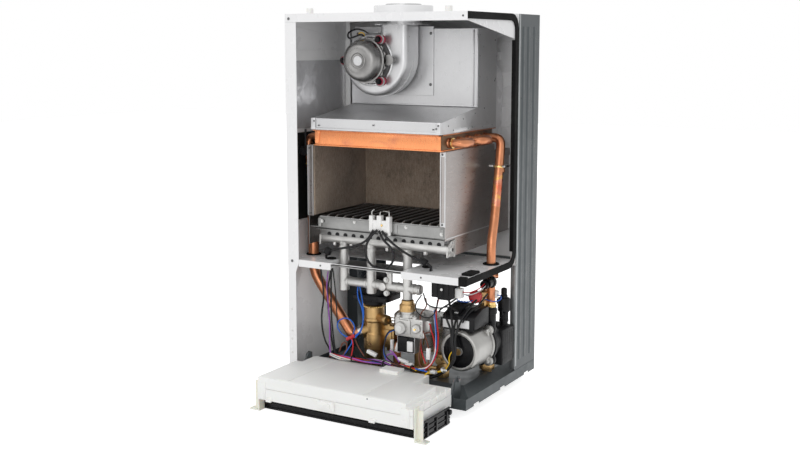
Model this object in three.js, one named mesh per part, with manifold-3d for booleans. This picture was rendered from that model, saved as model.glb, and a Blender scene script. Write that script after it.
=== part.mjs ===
// A wall-hung combi gas boiler with its front cover and right-hand side panel taken off
// and its control box folded down in front. Millimetres, Z up. The pieces are placed from
// the chassis corner: X = 0 on the centre line, Y = 0 on the chassis front and Z = 0 under
// the base pan's rim. The whole is then moved so that its origin is on the wall, where it hangs.
import * as THREE from 'three';
import { mergeVertices } from 'three/addons/utils/BufferGeometryUtils.js';
import Module from 'manifold-3d';

const wasm = await Module();
wasm.setup();

// ---- driving dimensions ----
const sheet = 1.2; // every folded steel panel
const gap = 0.3; // clearance between two pieces that seat on each other
const overlap = 0.5; // how far two pieces of one casting run into each other

const half = 200; // half of the casing's width
const caseHeight = 730;
const frameDepth = 215; // chassis front to the back pan's front flange
const panDepth = 100;
const wallY = frameDepth + panDepth; // the face that hangs on the wall
const rimHeight = 21; // base pan rim
const hangZ = 600; // height of the origin, on the back pan's wall face
const railHeight = 16; // folded front edge of the top panel
const sideFlange = 26; // width of the side panel's front flange
const gasketWidth = 13;
const gasketReturn = 12; // the strip that seals the back pan's flange
const gasketThick = 2.7;
const panelRight = half - gasketThick - gap; // roof and shelf stop here, beside the gasket
const shelfZ = 248;
const windowLeft = -half + 40;
const windowRight = half - 10;
const tailLength = 19; // the pipe tails reach this far under the rim

const flueX = -7;
const flueY = 127;
const stubRadius = 35;
const collarRadius = 58;

const fanX = -66;
const fanZ = caseHeight - 90;
const scrollFront = 100;
const scrollWall = 1.6;
const outletLeft = 20; // from the fan axis
const outletRight = 80;
const outletTop = 69; // over the fan axis
const wheelRadius = 46;
const bladeCount = 16;
const shaftRadius = 3.5;
const runClearance = 0.5; // between a turning shaft and its bore

const hoodFront = 160;
const scrollBack = hoodFront - 2.8; // the mounting plate lies between them
const hoodLeft = -half + 52;
const hoodRight = half - 61;
const hoodBack = 245;
const hoodBottom = caseHeight - 223;
const lipY = 12;
const lipTop = hoodBottom + 22;
const slopeTop = lipTop + 22;
const hoodTop = caseHeight - 28;

const exchangerLeft = hoodLeft + 3;
const exchangerRight = hoodRight - 5;
const exchangerFront = 20;
const exchangerBottom = hoodBottom - 31.7;
const tubeRadius = 8;
const tubePitch = 37.5;
const firstTubeY = 50;
const tubeZ = hoodBottom - 17;

const chamberLeft = -half + 32;
const chamberRight = half - 59;
const chamberFront = 28;
const chamberBack = 235;
const chamberBottom = 276;
const chamberMouth = 334; // lower edge of its open front
const chamberTop = exchangerBottom - gap;
const liningThick = 13;

const burnerLeft = chamberLeft + 26;
const burnerRight = chamberRight - 9;
const burnerTop = 335;
const burnerBottom = 312;
const barPitch = 19;
const firstBarX = burnerLeft + 17;
const barWidth = 8;
const barRoom = burnerRight - sheet - gap - barWidth - firstBarX;
const barCount = Math.floor(barRoom / barPitch) + 1;

const manifoldY = 45;
const manifoldZ = 290.5;
const manifoldRadius = 10;
const legRadius = 9.7;
const legs = [-95, -32, 50];
const legBottom = 187;
const nutBottom = 162;

const tailY = 90; // row of connection tails
const diverterX = -53;
const gasX = 50;
const hotX = 0;
const tailRadius = 10; // heating flow and return
const gasRadius = 9;
const coldRadius = 9;
const hotRadius = 8;
const plateauZ = 28; // top of the raised middle of the base pan

const pumpX = half - 42;
const coldX = pumpX - 55;
const pumpZ = 95;
const pumpFront = 50;
const pumpBack = 130;
const pumpRadius = 40;
const returnY = 175;
const ventX = 25; // from the pump axis
const ventY = frameDepth - 17;

const hingeY = 20; // the control box folds on this line
const hingeZ = 50;
const boxLength = 170;
const boxLeft = -half + 35;
const boxRight = half - 28;
const boxDepth = 44;
const knobRadius = 15;
const pinRadius = 4;

// ---- turning geometry into solids, and joining them ----
function solid(geometry) {
  const bare = geometry.index ? geometry.toNonIndexed() : geometry.clone();
  bare.deleteAttribute('normal');
  bare.deleteAttribute('uv');
  const merged = mergeVertices(bare, 1e-4);
  const corners = merged.index.array;
  const kept = [];
  for (let i = 0; i < corners.length; i += 3) {
    const [a, b, c] = corners.slice(i, i + 3);
    if (a !== b && b !== c && c !== a) kept.push(a, b, c);
  }
  const build = (triangles) =>
    new wasm.Manifold(new wasm.Mesh({
      numProp: 3,
      vertProperties: merged.attributes.position.array,
      triVerts: new Uint32Array(triangles),
    }));
  const made = build(kept);
  if (made.volume() > 0) return made;
  return build(kept.reverse()); // the outline was drawn the other way round
}

function join(...bodies) {
  return bodies.flat().reduce((whole, body) => whole.add(body));
}

function cut(whole, ...tools) {
  return tools.flat().reduce((left, tool) => left.subtract(tool), whole);
}

function box(x0, x1, y0, y1, z0, z1) {
  const made = new THREE.BoxGeometry(x1 - x0, y1 - y0, z1 - z0);
  return solid(made.translate((x0 + x1) / 2, (y0 + y1) / 2, (z0 + z1) / 2));
}

// Turns geometry made along local Z so that it runs along the named axis.
// Outlines are (x, y) for z, (x, z) for y and (y, z) for x.
function aim(geometry, axis, from, to) {
  if (axis === 'z') return geometry.translate(0, 0, from);
  if (axis === 'y') return geometry.rotateX(Math.PI / 2).translate(0, to, 0);
  const turn = new THREE.Matrix4().makeBasis(
    new THREE.Vector3(0, 1, 0), new THREE.Vector3(0, 0, 1), new THREE.Vector3(1, 0, 0));
  return geometry.applyMatrix4(turn).translate(from, 0, 0);
}

function shapeOf(points) {
  return new THREE.Shape(points.map(([u, v]) => new THREE.Vector2(u, v)));
}

function slab(points, axis, from, to) {
  const shape = points instanceof THREE.Shape ? points : shapeOf(points);
  const settings = { depth: to - from, bevelEnabled: false, curveSegments: 2 };
  return solid(aim(new THREE.ExtrudeGeometry(shape, settings), axis, from, to));
}

// A profile of [radius, distance along the axis] turned round an axis through (p, q).
function turned(profile, axis, p, q, sides = 18) {
  const points = profile.map(([r, h]) => new THREE.Vector2(r, h));
  const made = new THREE.LatheGeometry(points, sides);
  if (axis === 'z') made.rotateX(Math.PI / 2).translate(p, q, 0);
  if (axis === 'y') made.translate(p, 0, q);
  if (axis === 'x') made.rotateZ(-Math.PI / 2).translate(0, p, q);
  return solid(made);
}

function rod(axis, p, q, from, to, radius, sides = 16) {
  return turned([[0, from], [radius, from], [radius, to], [0, to]], axis, p, q, sides);
}

function ring(axis, p, q, from, to, outer, inner, sides = 20) {
  const profile = [[inner, from], [outer, from], [outer, to], [inner, to], [inner, from]];
  return turned(profile, axis, p, q, sides);
}

function roundedRect(u0, u1, v0, v1, r) {
  const shape = new THREE.Shape();
  shape.moveTo(u0 + r, v0);
  shape.lineTo(u1 - r, v0);
  shape.absarc(u1 - r, v0 + r, r, -Math.PI / 2, 0);
  shape.lineTo(u1, v1 - r);
  shape.absarc(u1 - r, v1 - r, r, 0, Math.PI / 2);
  shape.lineTo(u0 + r, v1);
  shape.absarc(u0 + r, v1 - r, r, Math.PI / 2, Math.PI);
  shape.lineTo(u0, v0 + r);
  shape.absarc(u0 + r, v0 + r, r, Math.PI, Math.PI * 1.5);
  return shape;
}

// Straight pipe runs with a round bend at every corner. The stations lie where it bends.
class Route extends THREE.Curve {
  constructor(corners, bend, turns = 3) {
    super();
    const points = corners.map((c) => new THREE.Vector3(...c));
    this.stations = [points[0]];
    for (let i = 1; i < points.length - 1; i++) {
      const back = points[i - 1].clone().sub(points[i]);
      const on = points[i + 1].clone().sub(points[i]);
      const reach = Math.min(bend, back.length() / 2.05, on.length() / 2.05);
      const start = points[i].clone().addScaledVector(back.normalize(), reach);
      const end = points[i].clone().addScaledVector(on.normalize(), reach);
      const corner = new THREE.QuadraticBezierCurve3(start, points[i], end);
      this.stations.push(...corner.getPoints(turns));
    }
    this.stations.push(points.at(-1));
  }

  getUtoTmapping(u) {
    return u;
  }

  getPoint(t, target = new THREE.Vector3()) {
    const at = t * (this.stations.length - 1);
    const i = Math.min(Math.floor(at), this.stations.length - 2);
    return target.lerpVectors(this.stations[i], this.stations[i + 1], at - i);
  }
}

function tubeAlong(curve, radius, sides, steps) {
  const outline = [];
  for (let i = 0; i < sides; i++) {
    const a = (i / sides) * Math.PI * 2;
    outline.push([Math.cos(a) * radius, Math.sin(a) * radius]);
  }
  return solid(new THREE.ExtrudeGeometry(shapeOf(outline), { steps, extrudePath: curve }));
}

function pipe(corners, radius, bend, sides = 10) {
  const route = new Route(corners, bend);
  return tubeAlong(route, radius, sides, route.stations.length - 1);
}

function cable(points, radius, steps) {
  const curve = new THREE.CatmullRomCurve3(points.map((p) => new THREE.Vector3(...p)));
  return tubeAlong(curve, radius, 8, steps);
}

// ---- named meshes ----
const finishes = {
  white: [0xeeeeec, 0.35, 0],
  galvanised: [0x6f7678, 0.45, 0.6],
  aluminium: [0xb9babb, 0.35, 0.8],
  castMetal: [0xa9a9a5, 0.5, 0.7],
  copper: [0xc8743a, 0.3, 0.9],
  brass: [0xa5834a, 0.4, 0.8],
  steel: [0xa0a2a4, 0.3, 0.9],
  fibre: [0x6b5748, 0.95, 0],
  blackPlastic: [0x1b1c1e, 0.5, 0],
  blackRubber: [0x141414, 0.9, 0],
  whitePlastic: [0xf0efec, 0.4, 0],
  creamPlastic: [0xdad7c6, 0.45, 0],
  redPlastic: [0xa3141c, 0.45, 0],
  board: [0x2f6b3d, 0.6, 0],
  ceramic: [0xf4f4f2, 0.4, 0],
  darkSteel: [0x3c3a38, 0.6, 0.5],
  paintedGrey: [0x5c6265, 0.6, 0],
};

function mesh(name, body, finish) {
  const { vertProperties, triVerts } = body.getMesh();
  const geometry = new THREE.BufferGeometry()
    .setAttribute('position', new THREE.BufferAttribute(vertProperties, 3))
    .setIndex(new THREE.BufferAttribute(triVerts, 1));
  geometry.computeVertexNormals();
  const [color, roughness, metalness] = finishes[finish];
  const made = new THREE.Mesh(
    geometry, new THREE.MeshStandardMaterial({ color, roughness, metalness }));
  made.name = name;
  return made;
}

function assembly(x, y, z, ...members) {
  const group = new THREE.Group();
  group.position.set(x, y, z);
  group.add(...members);
  return group;
}

// ---- casing ----
function backPan() {
  const low = rimHeight + gap;
  const shell = box(-half, half, frameDepth, wallY, low, caseHeight);
  const inside = box(-half + sheet, half - sheet, frameDepth + sheet, wallY - sheet,
    low + sheet, caseHeight - sheet);
  const flange = 12;
  const mouth = box(-half + flange, half - flange, frameDepth - 1, frameDepth + 2,
    shelfZ, caseHeight - flange);
  const lowerMouth = box(-half + 27, half - 4, frameDepth - 1, frameDepth + 2,
    low - 1, shelfZ - 14);
  const sill = box(-half + 27, half - 4, frameDepth - 1, wallY + 1, low - 1, 60);
  const pipeWindow = box(windowLeft, windowRight, wallY - 5, wallY + 1, 59, 225);
  return cut(shell, inside, mouth, lowerMouth, sill, pipeWindow);
}

function sidePanelLeft() {
  const low = rimHeight + gap;
  const top = caseHeight - sheet - gap;
  const railTop = caseHeight - railHeight - gap;
  const wall = box(-half, -half + sheet, 0, frameDepth - gap, low, railTop);
  const upper = box(-half, -half + sheet, sheet + gap, frameDepth - gap, railTop - 1, top);
  const flange = slab([
    [-half, low], [-half + 19, low], [-half + 19, 222], [-half + sideFlange, 240],
    [-half + sideFlange, railTop], [-half, railTop],
  ], 'y', 0, sheet);
  return join(wall, upper, flange);
}

function topPanel() {
  const roof = box(-half, panelRight, 0, frameDepth - gap, caseHeight - sheet, caseHeight);
  const rail = box(-half, panelRight, 0, sheet, caseHeight - railHeight, caseHeight);
  const low = caseHeight - railHeight;
  const gusset = [
    [0, low], [sheet, low], [frameDepth - gap, caseHeight - 50],
    [frameDepth - gap, caseHeight], [0, caseHeight],
  ];
  const right = slab(gusset, 'x', panelRight - sheet, panelRight);
  const leftX = -half + sheet + gap;
  const left = slab(gusset, 'x', leftX, leftX + sheet);
  const posts = [-half + 18, half - 72].map((x) =>
    rod('z', x, 60, caseHeight - overlap, caseHeight + 12, 6.5, 10));
  const bore = rod('z', flueX, flueY, caseHeight - 5, caseHeight + 5, stubRadius + 2);
  return cut(join(roof, rail, right, left, posts), bore, airPorts(caseHeight - 5));
}

// Six round ports round the flue that let combustion air in under the collar.
function airPorts(z) {
  return [0, 1, 2, 3, 4, 5].map((i) => {
    const a = (i * Math.PI) / 3;
    return rod('z', flueX + 45.5 * Math.cos(a), flueY + 45.5 * Math.sin(a), z, z + 12, 5, 6);
  });
}

const railGapLeft = -98;
const notchLeft = -107;
const notchRight = 61;
const notchDepth = 82;
const plateZ = 239;

function dividerShelf() {
  const left = -half + sheet + gap;
  const deck = box(left, panelRight, 0, frameDepth - gap, shelfZ - sheet, shelfZ);
  const railLow = shelfZ - 14;
  const railLeft = box(-half + sideFlange + gap, railGapLeft, 0, sheet, railLow, shelfZ);
  const railRight = box(notchRight, panelRight, 0, sheet, railLow, shelfZ);
  const cheeks = [notchLeft - sheet, notchRight].map((x) =>
    box(x, x + sheet, overlap, notchDepth, railLow, shelfZ));
  const notch = box(notchLeft, notchRight, sheet, notchDepth, shelfZ - 5, shelfZ + 5);
  const corner = box(left - 1, -half + sideFlange + gap, -1, sheet + gap, shelfZ - 5, shelfZ + 5);
  const holes = [[returnX, returnDropY, 13], [flowX, flowY, 13], [-122, 40, 7], [84, 60, 7]].map(
    ([x, y, r]) => rod('z', x, y, shelfZ - 5, shelfZ + 5, r, 12));
  const body = join(deck, railLeft, railRight, cheeks);
  return cut(body, notch, corner, holes);
}

function basePan() {
  const outer = box(-half, half, 0, wallY, 0, rimHeight);
  const trough = box(-half + sheet, half - sheet, sheet, wallY - sheet, 7, rimHeight + 1);
  const under = box(-half + sheet, half - sheet, sheet, wallY - sheet, -1, 7 - sheet);
  const tray = cut(outer, trough, under);
  const rise = (low, inset) => {
    const outline = shapeOf([
      [-half + 35 + inset, 58 + inset], [half - 35 - inset, 58 + inset],
      [half - 35 - inset, 258 - inset], [-half + 35 + inset, 258 - inset],
    ]);
    const settings = {
      depth: 0.01, bevelThickness: plateauZ - 7, bevelSize: 27, bevelSegments: 1,
    };
    const hill = solid(new THREE.ExtrudeGeometry(outline, settings).translate(0, 0, low));
    return cut(hill, box(-half, half, 0, wallY, low - 30, low));
  };
  const hill = rise(7 - sheet / 2, 0);
  const hollow = join(rise(7 - sheet * 1.5, 0.5), box(-half + 10, half - 10, 33, 283, 0, 5.5));
  const tails = [[diverterX, tailY, tailRadius], [hotX, tailY, hotRadius],
    [gasX, tailY, gasRadius], [coldX, tailY, coldRadius], [pumpX, returnY, tailRadius],
  ].map(([x, y, r]) => rod('z', x, y, 0, 40, r + 2 * gap, 12));
  const notches = [[33, 56], [149, 171], [264, 285]].map(([a, b]) =>
    box(half - 5, half + 1, a, b, -1, 4));
  // Two upturned ears on the front rim hold the pins of the folding control box.
  const ears = [boxLeft - gap - sheet, boxRight + gap].map((x) => cut(
    slab([[0, 12], [26, 12], [30, rimHeight], [hingeY + 9, hingeZ + 4], [hingeY, hingeZ + 8],
      [hingeY - 9, hingeZ + 4], [0, rimHeight + 6]], 'x', x, x + sheet),
    rod('x', hingeY, hingeZ, x - 1, x + sheet + 1, pinRadius + gap, 12)));
  const body = cut(join(tray, hill), hollow, tails, notches);
  return join(body, ears);
}

function chamberGasket() {
  const x0 = panelRight + gap;
  const low = shelfZ - 13;
  const top = caseHeight - gap;
  const back = frameDepth - gap;
  const outer = roundedRect(0, back, low, top, 30);
  const inner = roundedRect(-60, back - gasketWidth, low + gasketWidth, top - gasketWidth, 18);
  const loop = cut(slab(outer, 'x', x0, half), slab(inner, 'x', x0 - 1, half + 1));
  const front = box(x0 - 1, half + 1, -1, 31, low + gasketWidth, top - gasketWidth);
  const fillIn = join(
    box(x0, half, 0, 40, low, low + gasketWidth),
    box(x0, half, 0, 40, top - gasketWidth, top));
  const down = box(half - gasketReturn, half, back - 6, back, low + 30, top - 50);
  return join(cut(loop, front), fillIn, down);
}

function flueCollar() {
  const z0 = caseHeight + gap;
  const wall = ring('z', flueX, flueY, z0, z0 + 16, collarRadius, collarRadius - 3.5, 24);
  const web = ring('z', flueX, flueY, z0, z0 + 2, collarRadius - 3, stubRadius + 2, 24);
  return cut(join(wall, web), airPorts(caseHeight - 2));
}

function flueStub() {
  const z0 = fanZ + outletTop + gap;
  const wall = ring('z', flueX, flueY, z0, caseHeight + 19.5, stubRadius, stubRadius - 1.5, 20);
  const x0 = fanX + outletLeft - 8;
  const flange = box(x0, fanX + outletRight + 20, scrollFront - 4, hoodFront - gap - 1,
    z0, z0 + 2);
  const bore = rod('z', flueX, flueY, z0 - 1, z0 + 5, stubRadius - 1.5, 20);
  return join(cut(flange, bore), wall);
}

function foilLiner() {
  const x0 = -half + sheet + gap;
  return box(x0, x0 + 0.8, 14, frameDepth - 8, hoodBottom - 2, caseHeight - 70);
}

// ---- fan: local X and Z from the motor axis, Y from the chassis front ----
// The scroll opens out from its tongue round to the outlet, like a snail shell.
function scrollOutline(inset) {
  const points = [];
  const steps = 16;
  for (let i = 0; i <= steps; i++) {
    const turn = i / steps;
    const angle = Math.PI / 2 + turn * Math.PI * 1.5;
    const radius = 54 + 26 * turn ** 1.3 - inset;
    points.push([radius * Math.cos(angle), radius * Math.sin(angle)]);
  }
  points.push([outletRight - inset, outletTop]);
  points.push([outletLeft + inset, outletTop]);
  points.push([outletLeft + inset, 50 - inset / 2]);
  return points;
}

function fanHousing() {
  const shell = slab(scrollOutline(0), 'y', scrollFront, scrollBack);
  const inside = slab(scrollOutline(scrollWall).map(([u, v]) => [u, v === outletTop ? v + 2 : v]),
    'y', scrollFront + scrollWall, scrollBack - scrollWall);
  const inlet = rod('y', 0, 0, scrollBack - 4, scrollBack + 4, 32, 24);
  const shaftBore = rod('y', 0, 0, scrollFront - 4, scrollFront + 4, shaftRadius + 2, 10);
  return cut(shell, inside, inlet, shaftBore);
}

function fanImpeller() {
  const front = scrollFront + scrollWall + 4;
  const back = scrollBack - scrollWall - 4;
  const hub = rod('y', 0, 0, front, front + 2, wheelRadius, 20);
  const shaft = rod('y', 0, 0, 76, front + 1, shaftRadius, 10);
  const endRing = ring('y', 0, 0, back - 3, back, wheelRadius, wheelRadius - 8, 20);
  const blades = [];
  for (let i = 0; i < bladeCount; i++) {
    const blade = new THREE.BoxGeometry(7, back - front - 2, 1.4);
    blade.rotateY(0.6).translate(wheelRadius - 4.2, (front + back) / 2, 0);
    blades.push(solid(blade.rotateY((i / bladeCount) * Math.PI * 2)));
  }
  return join(hub, shaft, endRing, blades);
}

function fanMotor() {
  const dome = turned([
    [0, 53], [11, 53], [13, 50], [22, 50], [34, 55], [38.5, 62], [40, 68], [40, 82], [0, 82],
  ], 'y', 0, 0, 24);
  return cut(dome, rod('y', 0, 0, 74, 90, shaftRadius + runClearance, 10));
}

// Three arms hold the motor clear of the scroll on rubber bushes.
function fanMotorBracket() {
  const y0 = 82 + gap;
  const armAngles = [0.94, -0.9, Math.PI];
  const disc = rod('y', 0, 0, y0, y0 + 2, 43, 24);
  const feet = armAngles.map((a) => {
    const [x, z] = [51 * Math.cos(a), 51 * Math.sin(a)];
    return join(
      rod('y', x, z, y0, y0 + 2, 10, 12),
      rod('y', x, z, y0 + 1, scrollFront - gap, 5.5, 8));
  });
  const bore = rod('y', 0, 0, y0 - 1, y0 + 5, shaftRadius + 2, 10);
  return cut(join(disc, feet), bore);
}

function fanMountPlate() {
  const y0 = scrollBack + gap;
  const plate = box(hoodLeft + 10 - fanX, outletRight + 29, y0, hoodFront - gap,
    -outletTop, outletTop - 2);
  return cut(plate, rod('y', 0, 0, y0 - 2, hoodFront + 2, 32, 24));
}

// ---- flue hood, heat exchanger and combustion chamber ----
function flueHood() {
  const outline = (t) => [
    [lipY + t, hoodBottom - 2 * (t > 0)], [lipY + t, lipTop - t * 0.8],
    [hoodFront + t * 0.8, slopeTop - t], [hoodFront + t, hoodTop - t],
    [hoodBack - t, hoodTop - t], [hoodBack - t, hoodBottom - 2 * (t > 0)],
  ];
  const shell = slab(outline(0), 'x', hoodLeft, hoodRight);
  const inside = slab(outline(sheet), 'x', hoodLeft + sheet, hoodRight - sheet);
  const fanHole = rod('y', fanX, fanZ, hoodFront - 3, hoodFront + 5, 32, 24);
  return cut(shell, inside, fanHole);
}

// Copper jacket, five tubes side by side and the bends that chain them into one path.
function heatExchanger() {
  const top = hoodBottom - gap;
  const back = 236;
  const jacket = cut(
    box(exchangerLeft, exchangerRight, exchangerFront, back, exchangerBottom, top),
    box(exchangerLeft + 2, exchangerRight - 2, exchangerFront + 2, back - 2,
      exchangerBottom - 1, top + 1));
  const lower = box(exchangerLeft - 2, exchangerRight + 2, exchangerFront - 1, back + 1,
    exchangerBottom, exchangerBottom + 2.5);
  const rim = cut(lower, box(exchangerLeft + 2, exchangerRight - 2, exchangerFront + 2,
    back - 2, exchangerBottom - 1, top + 1));
  const tubes = [0, 1, 2, 3, 4].map((i) =>
    rod('x', firstTubeY + i * tubePitch, tubeZ, exchangerLeft - 6, exchangerRight + 6,
      tubeRadius, 8));
  const bendOut = 32;
  const bendAt = (side, i) => {
    const x0 = side > 0 ? exchangerRight : exchangerLeft;
    const a = firstTubeY + i * tubePitch;
    return pipe([[x0 + side * 4, a, tubeZ], [x0 + side * bendOut, a, tubeZ],
      [x0 + side * bendOut, a + tubePitch, tubeZ], [x0 + side * 4, a + tubePitch, tubeZ]],
    tubeRadius, tubePitch / 2, 8);
  };
  const flange = cut(
    box(hoodLeft, hoodRight, lipY, hoodBack, top - 2, top),
    box(exchangerLeft + 2, exchangerRight - 2, exchangerFront + 2, back - 2, top - 4, top + 1));
  return join(jacket, rim, flange, tubes, bendAt(1, 0), bendAt(-1, 1), bendAt(1, 2), bendAt(-1, 3));
}

function combustionChamber() {
  const lip = 12;
  const left = chamberLeft;
  const right = chamberRight;
  const front = chamberFront;
  const folded = slab([
    [left, front], [left + lip, front], [left + lip, front + sheet], [left + sheet, front + sheet],
    [left + sheet, chamberBack - sheet], [right - sheet, chamberBack - sheet],
    [right - sheet, front + sheet], [right - lip, front + sheet], [right - lip, front],
    [right, front], [right, chamberBack], [left, chamberBack],
  ], 'z', chamberBottom, chamberTop);
  const mouth = box(left + 2, right - 2, front - 1, front + 3, chamberBottom - 1, chamberMouth);
  // The right wall is cut back at the foot, where the gas manifold ends.
  const foot = box(right - 3, right + 1, front - 1, manifoldY + 21, chamberBottom - 1,
    burnerBottom - 4);
  // Two hat-section brackets carry the chamber on the back pan.
  const brackets = [left + 2, right - 14].map((x) => cut(
    box(x, x + 12, chamberBack - sheet / 2, wallY - sheet - gap, 290, chamberTop - 15),
    box(x + 1.5, x + 10.5, chamberBack + 2, wallY - 4, 289, chamberTop - 14)));
  return join(cut(folded, mouth, foot), brackets);
}

function chamberInsulation() {
  const x0 = chamberLeft + sheet + gap;
  const x1 = chamberRight - sheet - gap;
  const y0 = chamberFront + sheet + gap;
  const y1 = chamberBack - sheet - gap;
  const z0 = burnerTop + gap;
  const z1 = chamberTop;
  const block = box(x0, x1, y0, y1, z0, z1);
  return cut(block, box(x0 + liningThick, x1 - liningThick, y0 - 1, y1 - liningThick,
    z0 - 1, z1 + 1));
}

function burnerFrame() {
  const front = chamberFront + 2;
  const back = 212;
  const wall = cut(
    box(burnerLeft, burnerRight, front, back, burnerBottom, burnerTop),
    box(burnerLeft + sheet, burnerRight - sheet, front + sheet, back - sheet,
      burnerBottom - 1, burnerTop + 1));
  const ledge = cut(
    box(chamberLeft + sheet + gap, chamberRight - sheet - gap, front,
      chamberBack - sheet - gap, burnerBottom, burnerBottom + sheet),
    box(burnerLeft + 5, burnerRight - 5, front + 5, back - 5, burnerBottom - 1,
      burnerBottom + 5));
  // Two cross rails that the burner bars stand on.
  const rails = [60, 180].map((y) =>
    box(burnerLeft + overlap, burnerRight - overlap, y, y + 3, burnerBottom, burnerBottom + 3));
  return join(wall, ledge, rails);
}

function burnerRack() {
  const y0 = chamberFront + 8;
  const y1 = 206;
  const low = burnerBottom + 3 + gap;
  const bars = [];
  for (let i = 0; i < barCount; i++) {
    const x = firstBarX + i * barPitch;
    bars.push(slab([
      [x - barWidth / 2, low], [x + barWidth / 2, low], [x + barWidth / 2, 331],
      [x + 2, 338], [x - 2, 338], [x - barWidth / 2, 331],
    ], 'y', y0, y1));
  }
  const ties = [y0 - 2, y1 - overlap].map((y) =>
    box(firstBarX - barWidth, firstBarX + (barCount - 1) * barPitch + barWidth,
      y, y + 2 + overlap, low, low + 8));
  return join(bars, ties);
}

function electrodeBlock() {
  const body = box(-21, 22, 17, chamberFront + 2 - gap, 315, 346);
  const step = box(-3, 9, 16, chamberFront + 2, 340, 350);
  const pins = [-16, -1, 18].map((x, i) =>
    rod('z', x, 23, 338 - 6 * (i === 1), 356, 1.2, 8));
  return join(cut(body, step), pins);
}

// ---- gas train ----
function gasManifold() {
  const left = burnerLeft - 5;
  const right = chamberRight + 1;
  const main = rod('x', manifoldY, manifoldZ, left, right, manifoldRadius, 16);
  const cap = rod('x', manifoldY, manifoldZ, right - 1, right + 5, 6, 12);
  const flanges = [left, right - 3].map((x) =>
    slab([[34, 276], [62, 276], [62, 306], [50, 306], [34, 296]], 'x', x, x + 3));
  const nozzles = [];
  for (let i = 0; i < barCount; i++) {
    nozzles.push(rod('z', firstBarX + i * barPitch, manifoldY, manifoldZ, 307, 3, 6));
  }
  const downLegs = legs.map((x) =>
    rod('z', x, manifoldY, x === gasX ? nutBottom + 22 : legBottom, manifoldZ, legRadius, 12));
  const crossZ = 206;
  const cross = rod('x', manifoldY, crossZ, legs[0], 80, 9, 12);
  const boss = rod('y', 0, crossZ, manifoldY - 14, manifoldY, 8, 10);
  const lug = box(8, 18, manifoldY - 12, manifoldY, crossZ, crossZ + 28);
  return join(main, cap, flanges, nozzles, downLegs, cross, boss, lug);
}

function manifoldPlate() {
  const plate = box(notchLeft + gap, notchRight - gap, 14, notchDepth - 2, plateZ, plateZ + 2);
  const slots = legs.map((x) =>
    rod('z', x, manifoldY, plateZ - 3, plateZ + 5, legRadius + gap, 12));
  return cut(plate, slots);
}

function gasUnionNut() {
  const bottom = nutBottom;
  const hexagon = rod('z', gasX, manifoldY, bottom, bottom + 14, 17, 6);
  const collar = rod('z', gasX, manifoldY, bottom + 13, bottom + 22 - gap, 12, 12);
  return join(hexagon, collar);
}

function gasValve() {
  const top = 157;
  const body = slab(roundedRect(gasX - 24, gasX + 38, 36, 104, 6), 'z', 112, 150);
  const head = rod('z', gasX, manifoldY + 12, 149, top, 20, 16);
  const neck = rod('z', gasX, manifoldY, 150, nutBottom - gap, 11, 12);
  const screwBoss = rod('y', gasX + 26, 132, 28, 40, 9, 12);
  const regulator = rod('y', gasX - 8, 130, 26, 40, 12, 14);
  const side = box(gasX + 30, gasX + 46, 50, 96, 118, 146);
  return join(body, head, neck, screwBoss, regulator, side);
}

function gasValveCoil() {
  const body = slab(roundedRect(gasX - 20, gasX + 16, 38, tailY - 12, 3), 'z', 80, 112 - gap);
  const plug = box(gasX - 12, gasX + 6, 33, 39, 88, 104);
  return join(body, plug);
}

function gasInletPipe() {
  const tail = rod('z', gasX, tailY, -tailLength, 112 - gap, gasRadius, 12);
  const hex = rod('z', gasX, tailY, plateauZ + gap, 42, 16, 6);
  return cut(join(tail, hex), rod('z', gasX, tailY, -tailLength - 1, 100, 6.5, 10));
}

// ---- water side ----
const exchangerFace = 122; // front of the plate exchanger
const flowX = -half + 19.5; // the flow pipe runs down between the casing and the chamber
const flowY = 62;
const flowUnionZ = tubeZ - 172;
const returnX = pumpX + 19;
const returnDropY = 149;
const portTurn = new THREE.Vector3(-0.78, -0.56, -0.28); // way out of the diverter's side port
const portLength = 27;
const portZ = 106;

function alongPort(distance) {
  const start = new THREE.Vector3(diverterX, tailY, portZ);
  return start.addScaledVector(portTurn, distance).toArray();
}

function flowPipe() {
  const upper = pipe([[exchangerLeft - 6 - gap, firstTubeY, tubeZ], [flowX, firstTubeY, tubeZ],
    [flowX, firstTubeY, tubeZ - 50], [flowX, flowY, tubeZ - 110],
    [flowX, flowY, flowUnionZ + 4]], 8, 18, 8);
  const lower = pipe([[flowX, flowY, flowUnionZ + 6], [flowX, flowY, 212], alongPort(portLength + 20),
    alongPort(portLength + gap)], 10.6, 24);
  const union = rod('z', flowX, flowY, flowUnionZ, flowUnionZ + 16, 12, 14);
  return join(upper, lower, union);
}

function returnPipe() {
  const y0 = firstTubeY + 4 * tubePitch;
  const x0 = returnX - 5;
  const high = tubeZ - 53;
  const low = shelfZ + 42;
  const upper = pipe([[exchangerRight + 6 + gap, y0, tubeZ], [x0, y0, tubeZ],
    [x0, y0 - 8, high], [x0 + 3, y0 - 32, low + (high - low) * 0.3265],
    [returnX, returnDropY, low], [returnX, returnDropY, 165 + gap]], 9, 22, 8);
  const union = rod('z', x0, y0 - 6, high - 13, high - 6, 12, 14);
  return join(upper, union);
}

// Sprung steel clip that locks the return pipe's union.
function pipeClip() {
  const x0 = returnX - 5;
  const y0 = firstTubeY + 4 * tubePitch;
  const low = tubeZ - 56;
  const plate = box(x0 - 19, half - gasketReturn - gap, y0 - 16, y0 + 8, low, low + 4);
  return cut(plate, rod('z', x0, y0 - 7, low - 4, low + 8, 10.4, 14),
    box(x0 - 9.5, x0 + 9.5, y0 - 20, y0 - 8, low - 4, low + 8));
}

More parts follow.
